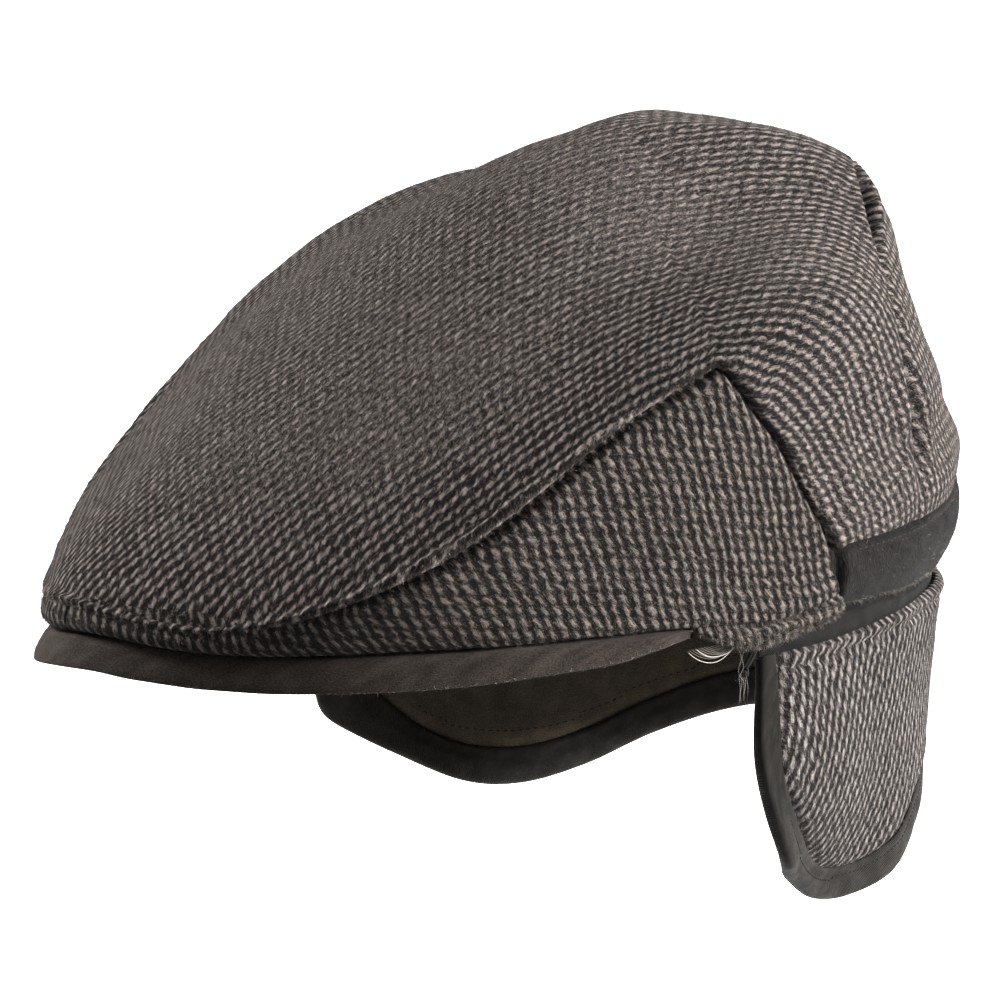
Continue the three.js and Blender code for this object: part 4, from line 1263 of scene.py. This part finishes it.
# %% Binding
BINDING_PROUD, BINDING_THICK = 0.4, 3.9


def binding_path():
    """Pairs of places, on the flap's edge and at the wool's border, down the front and along the bottom."""
    t = np.linspace(0, 1, 10)
    corner_w = cloth_low(np.array(BINDING_FRONT)) + 0.006
    down = np.stack([0 * t, 0.88 * t, 0 * t + BINDING_FRONT - 0.003, corner_w * t], -1)
    corner = BINDING_FRONT + BINDING_CORNER * np.array([0, 0.04, 0.12, 0.25, 0.42, 0.65])
    s = np.concatenate([corner, np.linspace(BINDING_FRONT + BINDING_CORNER, 1, 15)])[1:]
    k = np.arange(len(s))
    edge_q = np.where(k < 2, 0, s * np.clip((k - 1) / 6, 0, 1))
    turn = np.stack([edge_q, np.where(k == 0, 0.94, 1.0), s, cloth_low(s) + 0.006], -1)
    half = np.concatenate([down, turn])
    mirror = half[-2::-1] * np.array([-1, 1, -1, 1]) + np.array([2, 0, 2, 0])
    return np.concatenate([half, mirror])


pairs = binding_path()
corners = np.stack([flap_points(pairs[:, 0], pairs[:, 1]), flap_points(pairs[:, 2], pairs[:, 3])])
travel = lengths(corners, 1).mean(0)
BINDING_SAMPLES = 560
fine = np.linspace(0, travel[-1], BINDING_SAMPLES)
pairs = np.stack([through(fine, travel, pairs[:, k]) for k in range(4)], -1)
CORNER_SPAN, INNER_SPAN = 45, 17
for k, span in enumerate((CORNER_SPAN, CORNER_SPAN, INNER_SPAN, INNER_SPAN)):
    window = np.hanning(span + 2)[1:-1]
    padded = np.pad(pairs[:, k], span // 2, mode="reflect", reflect_type="odd")
    pairs[:, k] = np.convolve(padded, window / window.sum(), mode="valid")
at_bottom = ease(pairs[:, 1:2], 0.9, 1.0)
ROUND_MM = 2.4
BINDING_CLOTH = 0.6
BINDING_STEPS = 14
reach_in = 1 - np.cos(np.pi / 2 * np.linspace(0, 1, BINDING_STEPS))
across = np.concatenate([reach_in[::-1], reach_in[1:]])
face = np.concatenate([-np.ones(BINDING_STEPS - 1), [0.0], np.ones(BINDING_STEPS - 1)])
q = pairs[:, :1] + (pairs[:, 2:3] - pairs[:, :1]) * across
w = pairs[:, 1:2] + (pairs[:, 3:] - pairs[:, 1:2]) * across
bind_base, bind_out = flap_points(q, w), flap_normals(q, w)
bind_run = lengths(bind_base, 1)
from_edge = np.abs(bind_run - bind_run[:, BINDING_STEPS - 1:BINDING_STEPS])
from_wool = from_edge[:, -1:] - from_edge


def binding_face(depth):
    """Height over the middle plane at a depth below the binding's outer face: a half round at the edge."""
    x = 1 - np.clip((from_edge - depth) / (ROUND_MM - depth), 0, 1)
    return np.sqrt(1 - x * x) * (BINDING_THICK / 2 - depth) * face


# Along the bottom the stitched line draws the twill in, and it swells beyond it; everywhere its edge dips
GATHER, GATHER_SIZE, GATHER_ACROSS, GATHER_FACE = 0.13, 3.2, 0.25, 3.0
BINDING_SOFT, BINDING_STITCH = (0.25, 9.0, 4.0), 3.0
BINDING_SWELL, BINDING_LINE, BINDING_DIP = (0.3, 5.6, 2.0), (0.5, BINDING_STITCH, 0.55), (0.35, 0, 0.5)
FLAT_FROM, FLAT_TO = 0.3, 2.5
gather_at = [fine[:, None] + 0 * from_wool, from_wool * GATHER_ACROSS, face * GATHER_FACE + 0 * from_wool]
gather = softness(np.stack(gather_at, -1), GATHER_SIZE, 2.0)
puff = uneven(bind_base, BINDING_SOFT) + at_bottom * (GATHER * gather + welt(from_wool, *BINDING_SWELL))
puff = (puff - at_bottom * welt(from_wool, *BINDING_LINE)) * ease(from_edge, FLAT_FROM, FLAT_TO)
puff = puff - welt(from_wool, *BINDING_DIP)
bind_middle = BINDING_PROUD - BINDING_THICK / 2
bind_outer = bind_base + bind_out * (bind_middle + binding_face(0.0) + face * puff)[..., None]
bind_inner = bind_base + bind_out * (bind_middle + binding_face(BINDING_CLOTH) + face * puff)[..., None]
tucked = bind_base[:, BINDING_STEPS:BINDING_STEPS + 1] - bind_base[:, BINDING_STEPS - 1:BINDING_STEPS]
tucked = tucked / np.linalg.norm(tucked, axis=-1, keepdims=True)
bind_inner = bind_inner + tucked * (BINDING_CLOTH * (1 - ease(from_edge, 0, ROUND_MM)))[..., None]
bind_flat = np.stack([fine[:, None] + 0 * from_edge, from_edge * face], -1)
make_piece("earflap_binding_twill", *wall_mesh(bind_outer, bind_inner, bind_flat, bind_flat), twill,
           ["earflap_binding"], "twill_tape")

# %% Tape under the hem
TAPE_PHI = [83.5, 97.0, 112.5, 135.0, 157.5, 180.0]
TAPE_REACH = [84.0, 81.0, 75.6, 69.5, 67.0, 66.4]
TAPE_TOP = [-5.7, -4.2, -3.6, -4.2, -5.0, -5.4]
TAPE_LOW = [-8.8, -7.6, -7.2, -7.6, -8.2, -8.4]
TAPE_THICK = 1.4
TAPE_COLUMNS, TAPE_ROWS = 300, 14
TAPE_UNDER, TAPE_BEHIND_HEM, TAPE_INTO_FLAP = 6.0, 3.4, 2.6
# It runs up behind the hem, and higher behind the band; there it lies deeper in
UNDER_SPAN, HEM_TO_BAND, DEEPER_IN = (91.0, 94.0), (94, 97), 2.6
BEHIND_BELOW, BEHIND_ABOVE = 1.6, 0.6
TAPE_SOFT, TAPE_ROLL, TAPE_ROLL_AT, TAPE_ROLL_HALF = (0.35, 12.0, 1.0), 0.3, 1.7, 1.6
phi = np.linspace(TAPE_PHI[0], 360 - TAPE_PHI[0], TAPE_COLUMNS)[:, None]
side, v = folded(phi), np.linspace(0, 1, TAPE_ROWS)[None]
low = through(side, TAPE_PHI, TAPE_LOW) - TAPE_INTO_FLAP
high = through(side, TAPE_PHI, TAPE_TOP) + TAPE_BEHIND_HEM
high = high + (TAPE_UNDER - TAPE_BEHIND_HEM) * ease(side, *UNDER_SPAN)
height = low + (high - low) * v
band_low = through(side, BAND_PHI, BAND_LOW_HEIGHT) - BAND_OVER
hem_low = crown_profile(side, 0.0)[..., 1] - PEAK_GAP - HEM_HEIGHT
at_band = ease(side, *HEM_TO_BAND)
edge_low = (1 - at_band) * hem_low + at_band * band_low
behind = ease(height, edge_low - BEHIND_BELOW, edge_low + BEHIND_ABOVE)
tape_base = place(phi, through(side, TAPE_PHI, TAPE_REACH) - DEEPER_IN * behind, height)
tape_out = normals(tape_base)
tape_rise = uneven(tape_base, TAPE_SOFT)
tape_rise = tape_rise + TAPE_ROLL * hump(height, low + TAPE_INTO_FLAP + TAPE_ROLL_AT, TAPE_ROLL_HALF)
tape_flat = np.stack([lengths(tape_base, 0), lengths(tape_base, 1)], -1)
tape_outer, tape_inner = tape_base + tape_out * tape_rise[..., None], tape_base - tape_out * TAPE_THICK
make_piece("tape_twill", *wall_mesh(tape_outer, tape_inner, tape_flat, tape_flat), twill_dark, ["flap_tape"],
           "twill_tape")

# %% [markdown]
# ## Stitches and threads
#
# The band, the binding and the lining are sewn with a fine thread, and where the flap hangs at the front its
# thread ends were left loose. A stitch is a short tube that leaves the cloth and dips back, so hundreds of
# them are one array of centre lines with a ring of six points round each.

# %% Tubes along lines
TUBE_SIDES, TUBE_END = 6, 0.35
STITCH_POINTS, STITCH_ARCH, STITCH_SUNK = 5, 2.2, 0.9


def tubes(lines, out, radius):
    """Rings of points square to each centre line, drawn in at both ends and closed there."""
    along = np.gradient(lines, axis=1)
    along /= np.maximum(np.linalg.norm(along, axis=-1, keepdims=True), TINY)
    side = np.cross(along, np.broadcast_to(out, along.shape))
    side /= np.maximum(np.linalg.norm(side, axis=-1, keepdims=True), TINY)
    up = np.cross(side, along)
    turn = np.arange(TUBE_SIDES) / TUBE_SIDES * 2 * np.pi
    count, steps = lines.shape[:2]
    taper = np.ones(steps)
    taper[[0, -1]] = TUBE_END
    ring = np.cos(turn)[:, None] * side[:, :, None] + np.sin(turn)[:, None] * up[:, :, None]
    points = lines[:, :, None] + radius * taper[:, None, None] * ring
    ids = np.arange(count * steps * TUBE_SIDES).reshape(count, steps, TUBE_SIDES)
    near, far = ids[:, :-1], ids[:, 1:]
    walls = np.stack([near, far, np.roll(far, -1, 2), np.roll(near, -1, 2)], -1).reshape(-1, 4)
    caps = [ids[:, 0][:, [0, 1, 2, 3]], ids[:, 0][:, [0, 3, 4, 5]],
            ids[:, -1][:, [3, 2, 1, 0]], ids[:, -1][:, [5, 4, 3, 0]]]
    run = lengths(lines, 1)[:, :, None] + 0 * turn
    places = np.stack([run, np.broadcast_to(turn / (2 * np.pi), run.shape)], -1)
    return points.reshape(-1, 3), np.concatenate([walls, *caps]), places.reshape(-1, 2)


def sew(name, path, out, pitch, share, radius, material, slot):
    """Stitches along a path: each starts sunk, and arches up over its share of the pitch."""
    run = lengths(path[None], 1)[0]
    starts = np.arange(pitch, run[-1] - pitch, pitch)[:, None]
    t = np.linspace(0, 1, STITCH_POINTS)
    at = starts + pitch * share * t
    line = np.stack([np.interp(at, run, path[:, k]) for k in range(3)], -1)
    away = np.stack([np.interp(at, run, out[:, k]) for k in range(3)], -1)
    line = line + away * (radius * (STITCH_ARCH * np.sin(np.pi * t) - STITCH_SUNK))[:, None]
    return make_piece(name, *tubes(line, away, radius), material, slot=slot)


# %% Seams of band, binding and lining
# Each is the pitch, the share of it that the stitch takes, and the thread's radius
BAND_SEAM, BINDING_SEAM, LINING_SEAM = (2.6, 0.5, 0.08), (1.55, 0.62, 0.13), (2.2, 0.6, 0.13)
BAND_ENDS, LINING_ENDS = 8, 26
row = int(np.argmin(np.abs(band_above.mean(0) - STITCH_DOWN)))
seen = slice(BAND_ENDS, -BAND_ENDS)
sew("band_stitches", band_outer[seen, row], band_out[seen, row], *BAND_SEAM, thread_dark, "twill_tape")
column = np.flatnonzero(at_bottom[:, 0] > 0.5)
row = BINDING_STEPS + np.argmin(np.abs(from_wool[column, BINDING_STEPS:] - BINDING_STITCH), axis=1)
sew("binding_stitches", bind_outer[column, row], bind_out[column, row], *BINDING_SEAM, thread_black,
    "twill_tape")
row = np.argmin(np.abs(low_edge - UNDER_BINDING - LINING_STITCH), axis=1)
keep = slice(LINING_ENDS, -LINING_ENDS)
column = np.arange(len(along_flap))
sew("lining_stitches", lining_in[column, row][keep], -out[column, row][keep], *LINING_SEAM, thread_black,
    "twill_tape")

# %% Loose threads and the tie at the flap's front
THREAD_POINTS, TIE_POINTS = 26, 40
WAVE_WAY = np.array([0.5, 1.0, 0.3])
PALE_RADIUS, END_RADIUS, NET_RADIUS, TIE_RADIUS = 0.085, 0.07, 0.06, 0.62
NET_THREADS, SHORT_ENDS = 11, 5
KNOT_TURNS, KNOT_RADIUS, STRAP_APART = 2.5, 0.8, (0.3, 0.8, 0.2)


def hanging(start, end, sag, wave, turns=1):
    """A slack thread: a parabola between its ends, with a little sideways wave."""
    t = np.linspace(0, 1, THREAD_POINTS)[:, None]
    line = np.array(start) * (1 - t) + np.array(end) * t
    line = line - np.array([0, 0, 4 * sag]) * t * (1 - t)
    return line + WAVE_WAY * wave * np.sin(np.pi * turns * t) * np.sin(np.pi * t)


def short_end(k):
    start = (84.8, -15.4 + 0.55 * k, -12.4)
    return hanging(start, (84.6, -15.2 + 0.65 * k, -20.4 + 0.5 * (k % 3)), 0.0, 0.25, 1 + k % 2)


def net_thread(k):
    start = (85.4, -31.6 + 0.95 * k, -3.6)
    return hanging(start, (84.8, -17.0 + 0.3 * k, -4.4), 3.1 - 0.28 * k, 0.3, 1 + k % 3)


def corner_ties(sign):
    """Threads and tie under the front end of one flap, in mm; x is mirrored on the wearer's right."""
    side = "left" if sign > 0 else "right"
    mirror = np.array([sign, 1, 1])
    pale = [hanging((86.0, -32.2, -4.0), (85.6, -17.5, -4.6), 3.6, 0.35),
            hanging((86.2, -29.8, -3.6), (85.8, -16.2, -3.9), 2.7, -0.3, 2)]
    ends = [hanging((85.0, -17.0, -4.0), (84.6, -13.4, -15.2), 0.2, 0.9, 2),
            hanging((85.0, -13.0, -5.0), (84.6, -15.6, -13.6), 0.1, -0.7, 2),
            *(short_end(k) for k in range(SHORT_ENDS))]
    net = [net_thread(k) for k in range(NET_THREADS)]
    for name, lines, radius, material in (("pale_threads", pale, PALE_RADIUS, thread_pale),
                                          ("thread_ends", ends, END_RADIUS, thread_grey),
                                          ("thread_net", net, NET_RADIUS, thread_grey)):
        points, faces, places = tubes(np.stack(lines) * mirror, [1.0 * sign, 0, 0], radius)
        make_piece(f"{name}_{side}", points, faces, places, material, slot="twill_tape")
    t = np.linspace(0, 1, TIE_POINTS)
    strap = np.stack([84.2 - 1.0 * t, -10.6 - 4.0 * t + 0.5 * np.sin(5 * t), -5.6 - 8.8 * t], -1)
    turn = t * 2 * np.pi * KNOT_TURNS
    knot = [84.0 + KNOT_RADIUS * np.cos(turn), -13.4 + KNOT_RADIUS * np.sin(turn), -11.6 - 1.4 * t]
    lines = np.stack([strap, strap + STRAP_APART, np.stack(knot, -1)]) * mirror
    points, faces, places = tubes(lines, [1.0 * sign, 0.1, 0], TIE_RADIUS)
    make_piece(f"flap_tie_{side}", points, faces, places, thread_black, [f"flap_tack_{side}"], "twill_tape")


corner_ties(1)
corner_ties(-1)

# %% [markdown]
# ## Fuzz on the wool
#
# The hairs go on last, rooted on the finished faces, so that each stands on its own piece's folds.

# %% Hairs on every wool piece
# Above these rows the crown's columns lie too close for hairs rooted by area
HAIRY_ROWS, HEM_HAIRY_ROWS, SEAM_ROWS = slice(1, 96), slice(9), np.arange(2, 9)
SEAM_FROM, SEAM_TO = 283, 77
seam_columns = np.concatenate([np.flatnonzero(around > SEAM_FROM), np.flatnonzero(around < SEAM_TO)])
at_seam = np.ix_(seam_columns, SEAM_ROWS)
# Each row: piece, grid, places, number of hairs, their length in mm, finish and seed
wool_hairs = [
    ("crown_fuzz", top_outer[:, HAIRY_ROWS], top_flat[:, HAIRY_ROWS], 32000, 1.25, wool_top, 11),
    ("side_fuzz_left", left_outer, left_places, 15000, 1.2, wool_side_painted_shade, 12),
    ("side_fuzz_right", right_outer, right_places, 15000, 1.2, wool_side_painted_shade, 13),
    ("flap_fuzz", flap_outer, flap_flat, 16000, 1.2, wool_flap, 14),
    ("hem_fuzz_left", hem_left[:, HEM_HAIRY_ROWS], hem_places[:, HEM_HAIRY_ROWS], 2600, 1.7, wool_edge_painted_glint, 15),
    ("hem_fuzz_right", hem_right[:, HEM_HAIRY_ROWS], hem_right_places[:, HEM_HAIRY_ROWS], 2600, 1.7,
     wool_edge_painted_glint, 16),
    ("seam_fuzz", top_outer[at_seam], top_flat[at_seam], 9000, 1.1, wool_edge_painted_glint, 17)]
for row in wool_hairs:
    fuzz(*row)

# %% Pale lint on the suede and frays along its edges
# The peak frays along its lower edge on the wearer's left, and the band along its whole lower edge
LEFT_EDGE, EDGE_HAIRY_ROWS = slice(170, -6), slice(3)
PEAK_NAP_ROWS, BAND_NAP_ROWS = slice(26), slice(20)
peak_edge, peak_edge_flat = (grid[LEFT_EDGE, EDGE_HAIRY_ROWS] for grid in (peak_low, peak_flat))
band_edge, band_edge_flat = (grid[:, EDGE_HAIRY_ROWS] for grid in (band_outer, band_flat))
peak_face, peak_face_flat = (grid[:, PEAK_NAP_ROWS] for grid in (peak_high, peak_flat))
band_face, band_face_flat = (grid[:, BAND_NAP_ROWS] for grid in (band_outer, band_flat))
suede_hairs = [
    ("peak_fray", peak_edge, peak_edge_flat, 1500, 1.5, thread_grey, 21, 0.05),
    ("band_lint", band_outer, band_flat, 800, 1.4, thread_grey, 25, 0.06),
    ("peak_nap", peak_face, peak_face_flat, 5000, 0.5, suede_peak, 22, 0.06),
    ("band_nap", band_face, band_face_flat, 5000, 0.6, suede_band, 23, 0.06),
    ("band_fray", band_edge, band_edge_flat, 2600, 1.8, thread_grey, 24, 0.05)]
for row in suede_hairs:
    fuzz(*row, "suede_cloth")

# %% [markdown]
# ## Stage and light
#
# The cap hangs as if on a head, over a pale floor. One soft lamp stands behind it and lights the back, a
# second stands at its front right and lights the top, so the left side lies in half shade. A pale sky and the
# floor fill the shadows.

# %% Stage
FLOOR_MM = -230.0
STAGE_MM = 9000.0
SKY_STRENGTH = 0.34
stage_mesh = bpy.data.meshes.new("floor")
corner_signs = np.array([[-1, -1], [1, -1], [1, 1], [-1, 1]]) * STAGE_MM
floor_points = np.concatenate([corner_signs, np.full((4, 1), FLOOR_MM)], 1) * MM
stage_mesh.from_pydata(floor_points.tolist(), [], [[0, 1, 2, 3]])
floor = bpy.data.objects.new("floor", stage_mesh)
bpy.context.scene.collection.objects.link(floor)
paper = Finish("paper", Roughness=0.9, Base_Color=(0.9, 0.9, 0.9, 1.0), Specular_IOR_Level=0.1,
               Emission_Color=(1.0, 1.0, 1.0, 1.0), Emission_Strength=1.0)
stage_mesh.materials.append(paper.material)
floor.visible_diffuse = False

world = bpy.data.worlds.new("studio")
bpy.context.scene.world = world
world.use_nodes = True
world.node_tree.nodes["Background"].inputs["Color"].default_value = (1.0, 1.0, 1.0, 1.0)
world.node_tree.nodes["Background"].inputs["Strength"].default_value = SKY_STRENGTH


# %% Lamps
LAMP_MM = 650.0
# Each is its place and aim in mm and its power in watts
LAMPS = {"back_lamp": ((1050.0, 1180.0, 430.0), (0.0, 0.0, 20.0), 130.0),
         "top_lamp": ((-950.0, -760.0, 860.0), (0.0, -40.0, 20.0), 58.0)}


def lamp(name, place_mm, aim_mm, watts):
    light = bpy.data.lights.new(name, "AREA")
    light.shape = "DISK"
    light.size = LAMP_MM * MM
    light.energy = watts
    made = bpy.data.objects.new(name, light)
    made.location = Vector(place_mm) * MM
    made.rotation_mode = "QUATERNION"
    made.rotation_quaternion = (Vector(aim_mm) - Vector(place_mm)).to_track_quat("-Z", "Y")
    bpy.context.scene.collection.objects.link(made)


for name, settings in LAMPS.items():
    lamp(name, *settings)
bpy.context.scene.view_settings.view_transform = "Standard"
print("the stage lies", FLOOR_MM, "mm below the rim")
